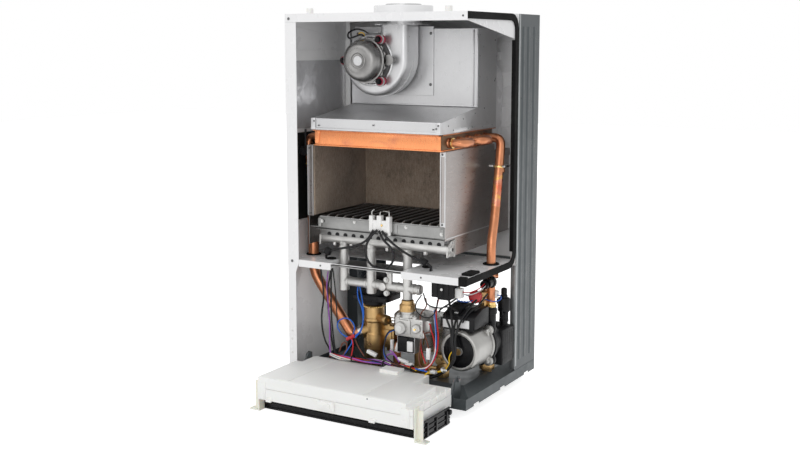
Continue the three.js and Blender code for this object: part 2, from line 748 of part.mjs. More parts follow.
function overheatThermostat() {
  const x = flowX;
  const y = firstTubeY;
  const saddle = cut(
    box(x - 11, x + 11, y - 14, y + 6, tubeZ - 38, tubeZ - 20),
    rod('z', x, y, tubeZ - 40, tubeZ - 10, tubeRadius + gap * 2, 14),
    box(x - 20, x + 20, y, y + 10, tubeZ - 40, tubeZ - 10));
  const can = rod('y', x, tubeZ - 29, y - 22, y - 13, 8, 14);
  const post = rod('z', x, y - 12, tubeZ - 24, tubeZ + 15, 2.2, 8);
  return join(saddle, can, post);
}

function diverterBody() {
  const x = diverterX;
  const y = tailY;
  const trunk = turned([
    [0, plateauZ + gap], [15, plateauZ + gap], [15, 41], [20, 41], [20, 62], [21.5, 64], [21.5, 96],
    [20, 98], [21.5, 120], [21.5, 126], [20, 128], [20, 150], [16, 154], [0, 154],
  ], 'z', x, y, 16);
  const tail = rod('z', x, y, -tailLength, 30, tailRadius, 12);
  const leftPort = pipe([alongPort(0), alongPort(portLength)], 15, 1, 14);
  const sidePort = pipe([[x, y, 130], [x + 44, 70, 130]], 9.5, 1, 10);
  const block = box(x + 6, hotX - 10, y + 4, exchangerFace - gap, 66, 112);
  const drain = rod('z', x, y, -tailLength - 1, 110, 7, 10);
  const spindleBore = rod('z', x, y, 122, 156, 4 + runClearance, 10);
  return cut(join(trunk, tail, leftPort, sidePort, block), drain, spindleBore);
}

function diverterSpindle() {
  const stem = rod('z', diverterX, tailY, 130, 176, 4, 10);
  const collar = rod('z', diverterX, tailY, 154.5, 157, 8, 12);
  return join(stem, collar);
}

function diverterActuator() {
  const x = diverterX + 7;
  const flange = slab(roundedRect(x - 40, x + 40, 60, 122, 12), 'z', 166, 178);
  const motor = rod('z', x, 92, 177, 214, 29, 16);
  const skirt = cut(
    rod('z', diverterX, tailY, 154 + gap, 167, 22, 16),
    rod('z', diverterX, tailY, 150, 166.5, 14, 14));
  const bore = rod('z', diverterX, tailY, 150, 190, 4 + runClearance, 10);
  return cut(join(flange, motor, skirt), bore);
}

function plateExchanger() {
  const plates = [];
  const count = 8;
  const pitch = 5.2;
  const y0 = exchangerFace;
  const outline = (inset) => {
    const [u0, u1, v0, v1] = [-26 + inset, pumpX - 46 - inset, 62 + inset, 138 - inset];
    return [[u0 + 8, v0], [u1 - 8, v0], [u1, v0 + 8], [u1, v1 - 8], [u1 - 8, v1],
      [u0 + 8, v1], [u0, v1 - 8], [u0, v0 + 8]];
  };
  for (let i = 0; i < count; i++) {
    plates.push(slab(outline(0), 'y', y0 + i * pitch, y0 + i * pitch + 2.8));
  }
  const core = slab(outline(2), 'y', y0 + 1, y0 + (count - 1) * pitch + 1);
  return join(core, plates);
}

function hotWaterPipe() {
  const body = pipe([[hotX, tailY, -tailLength], [hotX, tailY, 78], [hotX, exchangerFace - gap, 78]],
    hotRadius, 14);
  const bore = rod('z', hotX, tailY, -tailLength - 1, 30, 6, 10);
  return cut(body, bore);
}

function coldInletFitting() {
  const trunk = rod('z', coldX, tailY, -tailLength, 74, coldRadius, 12);
  const hex = rod('z', coldX, tailY, plateauZ + gap, 44, 14, 6);
  const branch = rod('y', coldX, 66, tailY, exchangerFace - gap, hotRadius, 12);
  return cut(join(trunk, hex, branch), rod('z', coldX, tailY, -tailLength - 1, 60, 6, 10));
}

// ---- pump: local X and Z from the motor axis, Y from the chassis front ----
function pumpMotor() {
  const can = turned([
    [0, 46], [7, 46], [7, 51], [33, 51], [35, pumpFront], [39, pumpFront + 3], [40, 60],
    [pumpRadius, 122], [0, 122],
  ], 'y', 0, 0, 24);
  const flange = slab(roundedRect(-41, 41, -41, 41, 14), 'y', 121, pumpBack);
  return cut(join(can, flange), rod('y', 0, 0, 110, pumpBack + 1, shaftRadius + runClearance, 10));
}

function pumpTerminalBox() {
  const x0 = -40;
  const x1 = 29;
  const outline = [[60, 41.5], [122, 41.5], [122, 77], [96, 77], [60, 66]];
  const body = slab(outline, 'x', x0, x1);
  return cut(body, rod('y', 0, 0, 50, 131, pumpRadius + gap, 24));
}

function pumpImpeller() {
  const disc = rod('y', 0, 0, 141, 143, 27, 16);
  const eye = ring('y', 0, 0, 149, 151, 27, 12, 16);
  const shaft = rod('y', 0, 0, 114, 142, shaftRadius, 10);
  const vanes = [];
  for (let i = 0; i < 6; i++) {
    const vane = new THREE.BoxGeometry(15, 8, 2).rotateY(0.5).translate(18.5, 146, 0);
    vanes.push(solid(vane.rotateY((i / 6) * Math.PI * 2)));
  }
  return join(disc, eye, shaft, vanes);
}

function pumpHousing() {
  const face = pumpBack + gap;
  const volute = rod('y', 0, 0, face, 160, 39, 24);
  const ports = box(-30, 41.5, 158, frameDepth - 1, -50, 22);
  const riser = rod('z', 19, 149, 0, 70, 11, 12);
  const ventSeat = rod('z', ventX, ventY, 21, 23, 14, 12);
  const tail = rod('z', 0, returnY, -pumpZ - tailLength, -48, tailRadius, 12);
  const chamber = rod('y', 0, 0, 138, 154, 32, 20);
  const shaftBore = rod('y', 0, 0, face - 1, 139, shaftRadius + 2, 10);
  const suction = rod('y', 0, 0, 150, returnY, 8, 10);
  const drop = rod('z', 0, returnY, -pumpZ - tailLength - 1, 0, 7, 10);
  return cut(join(volute, ports, riser, ventSeat, tail), chamber, shaftBore, suction, drop);
}

function airVent() {
  const z0 = 23 + gap;
  return turned([
    [0, z0], [8, z0], [8, 48], [12.5, 52], [12.5, 77], [7, 79], [7, 84], [0, 84],
  ], 'z', ventX, ventY, 16);
}

function ventCap() {
  return turned([[0, 84 + gap], [5, 84 + gap], [5.5, 96], [3.5, 98], [0, 98]],
    'z', ventX, ventY, 12);
}

function reliefValve() {
  const x = 10;
  const z = 97;
  const body = rod('y', x, z, 112, 138, 7, 12);
  const drop = rod('z', x, 128, 73, z, 6, 10);
  const shoulder = box(x - 6, x + 8, 124, 139.6, 74, 86);
  return join(body, drop, shoulder);
}

function reliefKnob() {
  return turned([[0, 92], [10, 92], [12, 95], [12, 107], [9, 112 - gap], [0, 112 - gap]],
    'y', 10, 97, 14);
}

function pressureSensor() {
  const can = rod('y', 22, 119, 112, 134, 9, 12);
  const stem = rod('y', 20, 119, 133, 140 - gap, 4, 8);
  return join(can, stem);
}

// ---- electrics ----
function igniterBox() {
  const top = shelfZ - sheet - gap;
  const body = box(101, 147, 46, 78, 195, 236);
  const tabs = [104, 138].map((x) => box(x, x + 6, 56, 68, 235, top));
  return join(body, tabs);
}

function expansionVessel() {
  const wall = 1.5;
  const back = wallY - sheet - gap;
  const left = -half + 50;
  const right = half - 78;
  const top = caseHeight - 90;
  const shell = slab(roundedRect(left, right, 300, top, 40), 'y', 268, back);
  const swell = slab(roundedRect(left + 14, right - 14, 314, top - 14, 34), 'y', 259, 269);
  const middle = (268 + back) / 2;
  const nipple = rod('z', -10, middle, 284, 301, 7, 12);
  const inside = join(
    slab(roundedRect(left + wall, right - wall, 300 + wall, top - wall, 40 - wall), 'y',
      268 + wall, back - wall),
    slab(roundedRect(left + 14 + wall, right - 14 - wall, 314 + wall, top - 14 - wall, 34 - wall),
      'y', 259 + wall, 270 + wall),
    rod('z', -10, middle, 283, 303, 5, 10));
  return cut(join(shell, swell, nipple), inside);
}

// ---- control box: local Y and Z from the hinge line ----
const trayTop = 28 - hingeZ;
const trayBottom = -boxDepth;
const rearBottom = -25; // the deep part of the box stops here, clear of the base pan

function controlTray() {
  const wall = 2;
  const shell = box(boxLeft, boxRight, -boxLength, rearBottom, trayBottom, trayTop);
  const inside = box(boxLeft + wall, boxRight - wall, -boxLength + wall, rearBottom - wall,
    trayBottom + wall, trayTop + 1);
  const posts = [boxLeft + 25, boxRight - 32].flatMap((x) => [20 - boxLength, -50].map((y) =>
    rod('z', x, y, trayBottom + 1, trayBottom + 8, 4, 10)));
  const latch = box(-28, 10, -boxLength - 5, -boxLength + 1, trayBottom + 6, trayTop - 3);
  // Arms reach back to the hinge line and end in the pins that turn in the base pan's ears.
  const arm = [[-27, -42], [-22, -42], [-22, -25], [7, -10], [7, 5], [-7, 5], [-24.5, -14],
    [-24.5, trayTop], [-27, trayTop]];
  const arms = [boxLeft, boxRight - 3].map((x) => slab(arm, 'x', x, x + 3));
  const pins = [rod('x', 0, 0, boxLeft - 5, boxLeft + 1, pinRadius, 12),
    rod('x', 0, 0, boxRight - 1, boxRight + 5, pinRadius, 12)];
  return join(cut(shell, inside), posts, latch, arms, pins);
}

function controlLid() {
  const low = trayTop + gap;
  const topRight = boxRight - 14;
  const rearRight = boxRight - 60;
  const rearLeft = boxLeft + 15;
  const stepZ = -9;
  const outline = [
    [boxLeft, -boxLength], [topRight, -boxLength], [topRight, -58], [rearRight, -58],
    [rearRight, 0], [rearLeft, 0], [rearLeft, -46], [boxLeft, -46],
  ];
  const upper = slab(outline, 'z', low, 0);
  const lower = box(boxLeft, boxRight, -boxLength, rearBottom, low, stepZ);
  const inside = slab([
    [boxLeft + 2, -boxLength + 2], [topRight - 2, -boxLength + 2], [topRight - 2, -60],
    [rearRight - 2, -60], [rearRight - 2, rearBottom - 2], [rearLeft + 2, rearBottom - 2],
    [rearLeft + 2, -48], [boxLeft + 2, -48],
  ], 'z', low - 1, -2);
  const block = box(20, 60, -32, -4, -overlap, 7);
  return join(cut(join(upper, lower), inside), block);
}

const knobSpots = { knob_heating: -60, knob_water: 10 };
const bezelFront = -hingeZ - tailLength; // faces down while the box is folded open
const bezelBack = trayBottom - gap;
const knobY = -98;
const buttonX = 76;
const pocketDepth = 15;

function controlBezel() {
  const frame = box(boxLeft - 7, boxRight + 9, -148, -47, bezelFront, bezelBack);
  const hollow = box(boxLeft - 3, boxRight + 5, -144, -51, bezelFront + 18, bezelBack + 1);
  const lip = box(boxRight + 6, boxRight + 9, -148, -47, bezelBack - 1, bezelBack + 8);
  const pockets = Object.values(knobSpots).map((x) =>
    rod('z', x, knobY, bezelFront - 1, bezelFront + pocketDepth, knobRadius + 3, 20));
  const holes = Object.values(knobSpots).map((x) =>
    rod('z', x, knobY, bezelFront, bezelBack - 1, 3 + runClearance, 10));
  const button = rod('z', buttonX, knobY, bezelFront - 1, bezelBack, 6 + runClearance, 12);
  const display = box(boxRight - 72, boxRight - 22, -115, -82, bezelFront - 1, bezelFront + 2);
  return cut(join(frame, lip), hollow, pockets, holes, button, display);
}

function controlKnob(x) {
  const grip = turned([
    [0, bezelFront + 1], [13, bezelFront + 1], [knobRadius, bezelFront + 3],
    [knobRadius, bezelFront + pocketDepth - gap], [0, bezelFront + pocketDepth - gap],
  ], 'z', x, knobY, 20);
  const shaft = rod('z', x, knobY, bezelFront + pocketDepth - 1, bezelBack - 2, 3, 10);
  const pointer = box(x - 1.2, x + 1.2, knobY + 3, knobY + 14, bezelFront + 0.6,
    bezelFront + 3);
  return join(grip, shaft, pointer);
}

function resetButton() {
  const cap = rod('z', buttonX, knobY, bezelFront + 1, bezelFront + 19, 6, 12);
  const flange = rod('z', buttonX, knobY, bezelFront + 18 + gap, bezelFront + 20.5, 8.5, 12);
  return join(cap, flange);
}

function circuitBoard() {
  const low = trayBottom + 8 + gap;
  const board = box(boxLeft + 10, boxRight - 12, -boxLength + 10, -35, low, low + 1.6);
  const transformer = box(70, 110, -110, -70, low + 1, low + 24);
  const relays = [-120, -90, -60].map((x) =>
    box(x, x + 18, 20 - boxLength, 40 - boxLength, low + 1, low + 16));
  const heatSink = box(-30, 20, -80, -60, low + 1, low + 20);
  return join(board, transformer, relays, heatSink);
}

function controlFoot(side) {
  const face = side > 0 ? boxRight : boxLeft;
  const span = (a, b) => (side > 0 ? [face + a, face + b] : [face - b, face - a]);
  const reach = side > 0 ? 27.5 : 34.5;
  const [p0, p1] = span(gap, 3);
  const plate = box(p0, p1, -166, -149, bezelFront, -7);
  const [r0, r1] = span(gap, 14);
  const rib = box(r0, r1, -159, -156, bezelFront, -12);
  const [t0, t1] = span(gap, Math.min(reach, 24));
  const toe = box(t0, t1, -166, -149, bezelFront, bezelFront + 2.5);
  return join(plate, rib, toe);
}

// ---- leads that the boiler holds all the way ----
// Each ends square on the rear edge of the control box's lid.
const leadEndY = hingeY + gap;

function ignitionLead() {
  return cable([[-14, 14, 317], [-22, 10, 300], [-48, 12, 282], [-78, 18, 270],
    [-106, 32, 264], [-122, 40, 252], [-122, 40, 238], [-123, 39, 190], [-122, 38, 130],
    [-116, 37, 84], [-112, 33, 50], [-112, 28, 42], [-112, leadEndY, 42]], 2.4, 24);
}

function pumpLead() {
  return cable([[150, 60 - gap, 150], [150, 52, 150], [152, 40, 130], [157, 36, 100],
    [150, 35, 72], [128, 34, 52], [106, 31, 43], [104, 26, 42], [104, leadEndY, 42]], 4, 16);
}

function controlHarness() {
  return cable([[-60, leadEndY, 40], [-60, 27, 40], [-48, 35, 45], [-10, 37, 50],
    [22, 37, 53], [38, 42, 57], [46, 49, 64], [47, 52, 73], [47, 52, 80 - gap]], 6, 16);
}

// ---- the assembly ----
const casing = assembly(0, 0, 0,
  mesh('back_pan', backPan(), 'galvanised'),
  mesh('side_panel_left', sidePanelLeft(), 'white'),
  mesh('top_panel', topPanel(), 'white'),
  mesh('divider_shelf', dividerShelf(), 'white'),
  mesh('base_pan', basePan(), 'galvanised'),
  mesh('chamber_gasket', chamberGasket(), 'blackRubber'),
  mesh('flue_collar', flueCollar(), 'white'),
  mesh('flue_stub', flueStub(), 'aluminium'),
  mesh('foil_liner', foilLiner(), 'steel'));

const fan = assembly(fanX, 0, fanZ,
  mesh('fan_housing', fanHousing(), 'aluminium'),
  mesh('fan_impeller', fanImpeller(), 'steel'),
  mesh('fan_motor', fanMotor(), 'steel'),
  mesh('fan_motor_bracket', fanMotorBracket(), 'steel'),
  mesh('fan_mount_plate', fanMountPlate(), 'aluminium'));

const burner = assembly(0, 0, 0,
  mesh('flue_hood', flueHood(), 'aluminium'),
  mesh('heat_exchanger', heatExchanger(), 'copper'),
  mesh('combustion_chamber', combustionChamber(), 'steel'),
  mesh('chamber_insulation', chamberInsulation(), 'fibre'),
  mesh('burner_frame', burnerFrame(), 'steel'),
  mesh('burner_rack', burnerRack(), 'darkSteel'),
  mesh('electrode_block', electrodeBlock(), 'ceramic'));

const gasTrain = assembly(0, 0, 0,
  mesh('gas_manifold', gasManifold(), 'castMetal'),
  mesh('manifold_plate', manifoldPlate(), 'steel'),
  mesh('gas_union_nut', gasUnionNut(), 'brass'),
  mesh('gas_valve', gasValve(), 'castMetal'),
  mesh('gas_valve_coil', gasValveCoil(), 'blackPlastic'),
  mesh('gas_inlet_pipe', gasInletPipe(), 'copper'));

const water = assembly(0, 0, 0,
  mesh('flow_pipe', flowPipe(), 'copper'),
  mesh('return_pipe', returnPipe(), 'copper'),
  mesh('pipe_clip', pipeClip(), 'steel'),
  mesh('overheat_thermostat', overheatThermostat(), 'blackPlastic'),
  mesh('diverter_body', diverterBody(), 'brass'),
  mesh('diverter_spindle', diverterSpindle(), 'steel'),
  mesh('diverter_actuator', diverterActuator(), 'blackPlastic'),
  mesh('plate_exchanger', plateExchanger(), 'steel'),
  mesh('hot_water_pipe', hotWaterPipe(), 'copper'),
  mesh('cold_inlet_fitting', coldInletFitting(), 'brass'),
  mesh('expansion_vessel', expansionVessel(), 'paintedGrey'));

const pump = assembly(pumpX, 0, pumpZ,
  mesh('pump_motor', pumpMotor(), 'aluminium'),
  mesh('pump_terminal_box', pumpTerminalBox(), 'blackPlastic'),
  mesh('pump_impeller', pumpImpeller(), 'whitePlastic'),
  mesh('pump_housing', pumpHousing(), 'blackPlastic'),
  mesh('air_vent', airVent(), 'blackPlastic'),
  mesh('vent_cap', ventCap(), 'blackPlastic'),
  mesh('relief_valve', reliefValve(), 'brass'),
  mesh('relief_knob', reliefKnob(), 'redPlastic'),
  mesh('pressure_sensor', pressureSensor(), 'blackPlastic'));

const electrics = assembly(0, 0, 0,
  mesh('igniter_box', igniterBox(), 'blackPlastic'),
  mesh('ignition_lead', ignitionLead(), 'blackRubber'),
  mesh('pump_lead', pumpLead(), 'blackRubber'),
  mesh('control_harness', controlHarness(), 'blackRubber'));

const controlBox = assembly(0, hingeY, hingeZ,
  mesh('control_tray', controlTray(), 'whitePlastic'),
  mesh('control_lid', controlLid(), 'whitePlastic'),
  mesh('control_bezel', controlBezel(), 'blackPlastic'),
  mesh('circuit_board', circuitBoard(), 'board'),
  mesh('control_foot_left', controlFoot(-1), 'creamPlastic'),
  mesh('control_foot_right', controlFoot(1), 'creamPlastic'),
  ...Object.entries(knobSpots).map(([name, x]) => mesh(name, controlKnob(x), 'blackPlastic')),
  mesh('reset_button', resetButton(), 'whitePlastic'));

const boiler = assembly(0, -wallY, -hangZ,
  casing, fan, burner, gasTrain, water, pump, electrics, controlBox);

export default boiler;
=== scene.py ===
# A wall-hung combi gas boiler, with its cover and right side panel off and its control box
# folded down. Lengths are chassis millimetres: x 0 on the centre line, y 0 at the front of
# the chassis and z 0 under the base pan.
import math
import random

import bmesh
import bpy
from mathutils import Matrix, Vector


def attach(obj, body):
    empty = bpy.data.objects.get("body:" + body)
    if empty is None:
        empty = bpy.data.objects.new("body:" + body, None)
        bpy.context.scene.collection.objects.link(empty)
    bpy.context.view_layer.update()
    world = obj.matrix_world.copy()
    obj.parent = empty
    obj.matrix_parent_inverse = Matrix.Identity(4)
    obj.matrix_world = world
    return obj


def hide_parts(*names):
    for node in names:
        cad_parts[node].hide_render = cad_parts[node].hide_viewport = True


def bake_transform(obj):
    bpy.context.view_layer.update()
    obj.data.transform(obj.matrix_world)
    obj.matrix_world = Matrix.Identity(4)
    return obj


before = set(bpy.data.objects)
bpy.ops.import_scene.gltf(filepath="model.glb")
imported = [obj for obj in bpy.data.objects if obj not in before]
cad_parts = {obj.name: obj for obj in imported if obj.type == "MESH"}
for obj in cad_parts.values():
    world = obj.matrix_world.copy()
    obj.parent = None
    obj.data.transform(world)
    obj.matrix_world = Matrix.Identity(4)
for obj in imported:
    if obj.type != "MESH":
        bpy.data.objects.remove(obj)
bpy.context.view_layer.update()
scene = bpy.context.scene
print("frame loaded:", len(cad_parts), "nodes")

wallDepth, hangHeight = 315, 600


def spot(x, y, z):
    # A chassis point as a point of the frame, in metres.
    return Vector((x, y - wallDepth, z - hangHeight)) / 1000


# Camera.
def makeCamera():
    look = {"place": (1083.8, -1757.1, 669.3), "turn": 30.248, "tilt": 7.624, "lens": 49.584,
            "sensor": 36, "shift": -0.04, "near": 0.05, "far": 60}
    data = bpy.data.cameras.new("viewCamera")
    data.lens, data.sensor_width, data.shift_y = look["lens"], look["sensor"], look["shift"]
    data.clip_start, data.clip_end = look["near"], look["far"]
    camera = bpy.data.objects.new("viewCamera", data)
    camera.location = spot(*look["place"])
    camera.rotation_euler = (math.radians(90 - look["tilt"]), 0, math.radians(look["turn"]))
    scene.collection.objects.link(camera)
    scene.camera = camera


makeCamera()


# Shader nodes: an input takes a constant or the output of another node.
def feed(tree, node, key, value):
    socket = node.inputs[key]
    if isinstance(value, bpy.types.NodeSocket):
        tree.links.new(value, socket)
    else:
        socket.default_value = (*value, 1) if socket.type == "RGBA" else value


def addNode(tree, kind, inputs, **settings):
    node = tree.nodes.new("ShaderNode" + kind)
    for key, value in settings.items():
        setattr(node, key, value)
    for key, value in inputs.items():
        feed(tree, node, key, value)
    return node.outputs


def objectPlace(tree):
    return addNode(tree, "TexCoord", {})["Object"]


def stretched(tree, scale):
    return addNode(tree, "VectorMath", {0: objectPlace(tree), 1: scale}, operation="MULTIPLY")[0]


def noise(tree, place, scale, detail, **more):
    return addNode(tree, "TexNoise", {"Vector": place, "Scale": scale, "Detail": detail, **more})["Fac"]


def ranged(tree, value, low, high, toLow=0, toHigh=1):
    return addNode(tree, "MapRange", {"Value": value, "From Min": low, "From Max": high,
                                      "To Min": toLow, "To Max": toHigh})["Result"]


def calc(tree, operation, *values, clamp=False):
    return addNode(tree, "Math", dict(enumerate(values)), operation=operation, use_clamp=clamp)[0]


def mixed(tree, share, first, second):
    return addNode(tree, "Mix", {"Factor": share, "A": first, "B": second}, data_type="RGBA")["Result"]


def bumped(tree, height, strength, distance):
    return addNode(tree, "Bump", {"Height": height, "Strength": strength, "Distance": distance})["Normal"]


# Node groups that several finishes share.
def drawGrain(tree, given):
    # Roughness that wanders a little, and a fine bump under it.
    place = objectPlace(tree)
    patch = noise(tree, place, given["Patch Scale"], 4, Roughness=0.6)
    fine = noise(tree, place, given["Grain Scale"], 2)
    rough = ranged(tree, patch, 0.35, 0.65, given["Low"], given["High"])
    return rough, bumped(tree, fine, given["Depth"], 0.0004)


def drawRolled(tree, given):
    # The long faint lines of rolled sheet.
    lines = noise(tree, stretched(tree, given["Stretch"]), 1, 3, Roughness=0.7)
    rough = ranged(tree, lines, 0.3, 0.7, given["Low"], given["High"])
    return rough, bumped(tree, lines, given["Depth"], 0.0003)


def drawTone(tree, given):
    # Mixes two tones of one colour in soft clouds, with fine specks over them.
    place = objectPlace(tree)
    cloud = ranged(tree, noise(tree, place, given["Scale"], 5, Roughness=0.62), 0.36, 0.68)
    speck = ranged(tree, noise(tree, place, 650, 1), 0.55, 0.75)
    share = calc(tree, "ADD", calc(tree, "MULTIPLY", cloud, given["Amount"]),
                 calc(tree, "MULTIPLY", speck, given["Specks"]), clamp=True)
    return [mixed(tree, share, given["Color"], given["Shade"])]


def drawBand(tree, given):
    # 1 between two heights along an axis, with soft ends and a ragged line.
    place = objectPlace(tree)
    along = addNode(tree, "VectorMath", {0: place, 1: given["Axis"]}, operation="DOT_PRODUCT")["Value"]
    wander = calc(tree, "MULTIPLY", calc(tree, "SUBTRACT", noise(tree, place, 70, 3), 0.5), given["Ragged"])
    height = calc(tree, "ADD", along, wander)
    ends = [calc(tree, "DIVIDE", calc(tree, "SUBTRACT", high, low), given["Soft"], clamp=True)
            for high, low in ((height, given["From"]), (given["To"], height))]
    return [calc(tree, "MINIMUM", *ends)]


number, colour, vector = "NodeSocketFloat", "NodeSocketColor", "NodeSocketVector"
surfaceOutputs = {"Roughness": number, "Normal": vector}


def newGroup(name, draw, inputs, outputs):
    tree = bpy.data.node_groups.new(name, "ShaderNodeTree")
    for label, (kind, value) in inputs.items():
        tree.interface.new_socket(name=label, in_out="INPUT", socket_type=kind).default_value = value
    for label, kind in outputs.items():
        tree.interface.new_socket(name=label, in_out="OUTPUT", socket_type=kind)
    given, result = tree.nodes.new("NodeGroupInput"), tree.nodes.new("NodeGroupOutput")
    for label, socket in zip(outputs, draw(tree, given.outputs)):
        feed(tree, result, label, socket)
    return tree


groups = {
    "grain": newGroup("surfaceGrain", drawGrain, {
        "Patch Scale": (number, 12), "Grain Scale": (number, 900), "Low": (number, 0.3),
        "High": (number, 0.45), "Depth": (number, 0.1)}, surfaceOutputs),
    "rolled": newGroup("rolledLines", drawRolled, {
        "Stretch": (vector, (40, 40, 900)), "Low": (number, 0.25), "High": (number, 0.4),
        "Depth": (number, 0.05)}, surfaceOutputs),
    "tone": newGroup("toneClouds", drawTone, {
        "Color": (colour, (0.8, 0.8, 0.8, 1)), "Shade": (colour, (0.6, 0.6, 0.6, 1)), "Scale": (number, 8),
        "Amount": (number, 0.5), "Specks": (number, 0.05)}, {"Color": colour}),
    "band": newGroup("softBand", drawBand, {
        "Axis": (vector, (0, 0, 1)), "From": (number, 0), "To": (number, 1), "Soft": (number, 0.01),
        "Ragged": (number, 0)}, {"Mask": number}),
}


def grouped(tree, key, inputs):
    return addNode(tree, "Group", inputs, node_tree=groups[key])


def band(tree, axis, low, high=1, soft=0.0002, ragged=0):
    return grouped(tree, "band", {"Axis": axis, "From": low, "To": high, "Soft": soft,
                                  "Ragged": ragged})["Mask"]


# Finishes.
materials = {}
shaderInputs = {"metallic": "Metallic", "coat": "Coat Weight", "specular": "Specular IOR Level",
                "subsurface": "Subsurface Weight", "sheen": "Sheen Weight"}


def newMaterial(name):
    made = materials[name] = bpy.data.materials.new(name)
    made.use_nodes = True
    return made.node_tree, made.node_tree.nodes["Principled BSDF"]


def makeFinish(name, color, shade, rough, cloud=9, amount=0.5, specks=0.05, patch=14, grain=900,
               stretch=None, depth=0.1, **constants):
    # Two tones, a roughness range, a grain or rolled lines, and the shader's own constants.
    tree, shader = newMaterial(name)
    for key, value in constants.items():
        feed(tree, shader, shaderInputs[key], value)
    tone = grouped(tree, "tone", {"Color": color, "Shade": shade, "Scale": cloud, "Amount": amount,
                                  "Specks": specks})["Color"]
    surface = {"Low": rough[0], "High": rough[1], "Depth": depth}
    if stretch:
        surface = grouped(tree, "rolled", {"Stretch": stretch, **surface})
    else:
        surface = grouped(tree, "grain", {"Patch Scale": patch, "Grain Scale": grain, **surface})
    feed(tree, shader, "Base Color", tone)
    feed(tree, shader, "Roughness", surface["Roughness"])
    feed(tree, shader, "Normal", surface["Normal"])
    return tree, shader, tone


finishes = {
    "whitePaint": dict(color=(0.82, 0.82, 0.825), shade=(0.77, 0.77, 0.78), rough=(0.22, 0.34),
                       grain=1400, depth=0.06, coat=0.15),
    "galvanised": dict(color=(0.085, 0.097, 0.102), shade=(0.055, 0.064, 0.068), rough=(0.34, 0.46),
                       cloud=5, patch=40, grain=500, depth=0.05, metallic=0.5, specular=0.3),
    "zincSheet": dict(color=(0.34, 0.355, 0.36), shade=(0.22, 0.235, 0.24), rough=(0.3, 0.44),
                      cloud=14, patch=60, grain=500, depth=0.08, metallic=0.75),
    "aluminised": dict(color=(0.55, 0.55, 0.555), shade=(0.44, 0.44, 0.45), rough=(0.26, 0.42),
                       stretch=(900, 60, 40), depth=0.05, cloud=7, metallic=0.82),
    "chamberSteel": dict(color=(0.36, 0.335, 0.325), shade=(0.25, 0.23, 0.22), rough=(0.24, 0.42),
                         stretch=(60, 60, 900), depth=0.05, cloud=6, metallic=0.95),
    "castAlloy": dict(color=(0.56, 0.555, 0.54), shade=(0.38, 0.375, 0.365), rough=(0.36, 0.52),
                      grain=1100, depth=0.45, cloud=30, specks=0.25, metallic=0.85),
    "brass": dict(color=(0.52, 0.345, 0.155), shade=(0.32, 0.195, 0.08), rough=(0.26, 0.46),
                  depth=0.25, cloud=35, amount=0.7, metallic=0.95),
    "brightBrass": dict(color=(0.78, 0.55, 0.22), shade=(0.55, 0.36, 0.13), rough=(0.16, 0.3),
                        depth=0.06, cloud=60, metallic=1),
    "zincSteel": dict(color=(0.56, 0.56, 0.55), shade=(0.40, 0.40, 0.385), rough=(0.2, 0.36),
                      depth=0.08, cloud=60, metallic=0.95),
    "motorSteel": dict(color=(0.27, 0.265, 0.26), shade=(0.16, 0.158, 0.154), rough=(0.24, 0.38),
                       grain=700, depth=0.14, cloud=22, amount=0.7, metallic=0.95),
    "dullZinc": dict(color=(0.29, 0.29, 0.285), shade=(0.19, 0.19, 0.185), rough=(0.3, 0.46),
                     depth=0.08, cloud=28, metallic=0.9),
    "darkScrew": dict(color=(0.16, 0.16, 0.16), shade=(0.06, 0.06, 0.06), rough=(0.3, 0.45),
                      cloud=80, metallic=0.9),
    "pumpCan": dict(color=(0.40, 0.395, 0.38), shade=(0.29, 0.285, 0.275), rough=(0.28, 0.4),
                    depth=0.16, cloud=18, metallic=0.9),
    "silverTie": dict(color=(0.72, 0.73, 0.74), shade=(0.6, 0.6, 0.62), rough=(0.2, 0.34),
                      depth=0.06, metallic=0.9),
    "tarnished": dict(color=(0.19, 0.115, 0.065), shade=(0.08, 0.05, 0.035), rough=(0.4, 0.6),
                      depth=0.15, cloud=40, amount=0.9, metallic=0.7),
    "blackPlastic": dict(color=(0.006, 0.006, 0.007), shade=(0.014, 0.014, 0.015), rough=(0.34, 0.52),
                         grain=2200, depth=0.22, cloud=22, specular=0.2),
    "glossBlack": dict(color=(0.004, 0.004, 0.005), shade=(0.009, 0.009, 0.01), rough=(0.16, 0.26),
                       grain=700, depth=0.03, cloud=22, specular=0.16),
    "foamRubber": dict(color=(0.007, 0.007, 0.007), shade=(0.016, 0.016, 0.016), rough=(0.7, 0.9),
                       grain=1600, depth=0.6, cloud=90, specks=0.5, specular=0.12),
    "whitePlastic": dict(color=(0.89, 0.875, 0.85), shade=(0.85, 0.835, 0.81), rough=(0.34, 0.46),
                         grain=1500, depth=0.07, cloud=10, amount=0.4, subsurface=0.06),
    "creamPlastic": dict(color=(0.85, 0.82, 0.73), shade=(0.78, 0.75, 0.65), rough=(0.3, 0.42),
                         depth=0.08, cloud=30, subsurface=0.15),
    "redPlastic": dict(color=(0.50, 0.012, 0.02), shade=(0.36, 0.01, 0.014), rough=(0.25, 0.36),
                       depth=0.05, cloud=50),
    "redRubber": dict(color=(0.42, 0.02, 0.06), shade=(0.28, 0.015, 0.04), rough=(0.45, 0.6),
                      depth=0.2, cloud=60),
    "ceramic": dict(color=(0.84, 0.84, 0.83), shade=(0.76, 0.75, 0.73), rough=(0.2, 0.34),
                    grain=700, cloud=60, coat=0.3),
    "blankLabel": dict(color=(0.78, 0.78, 0.78), shade=(0.70, 0.70, 0.70), rough=(0.3, 0.42), depth=0.03),
}


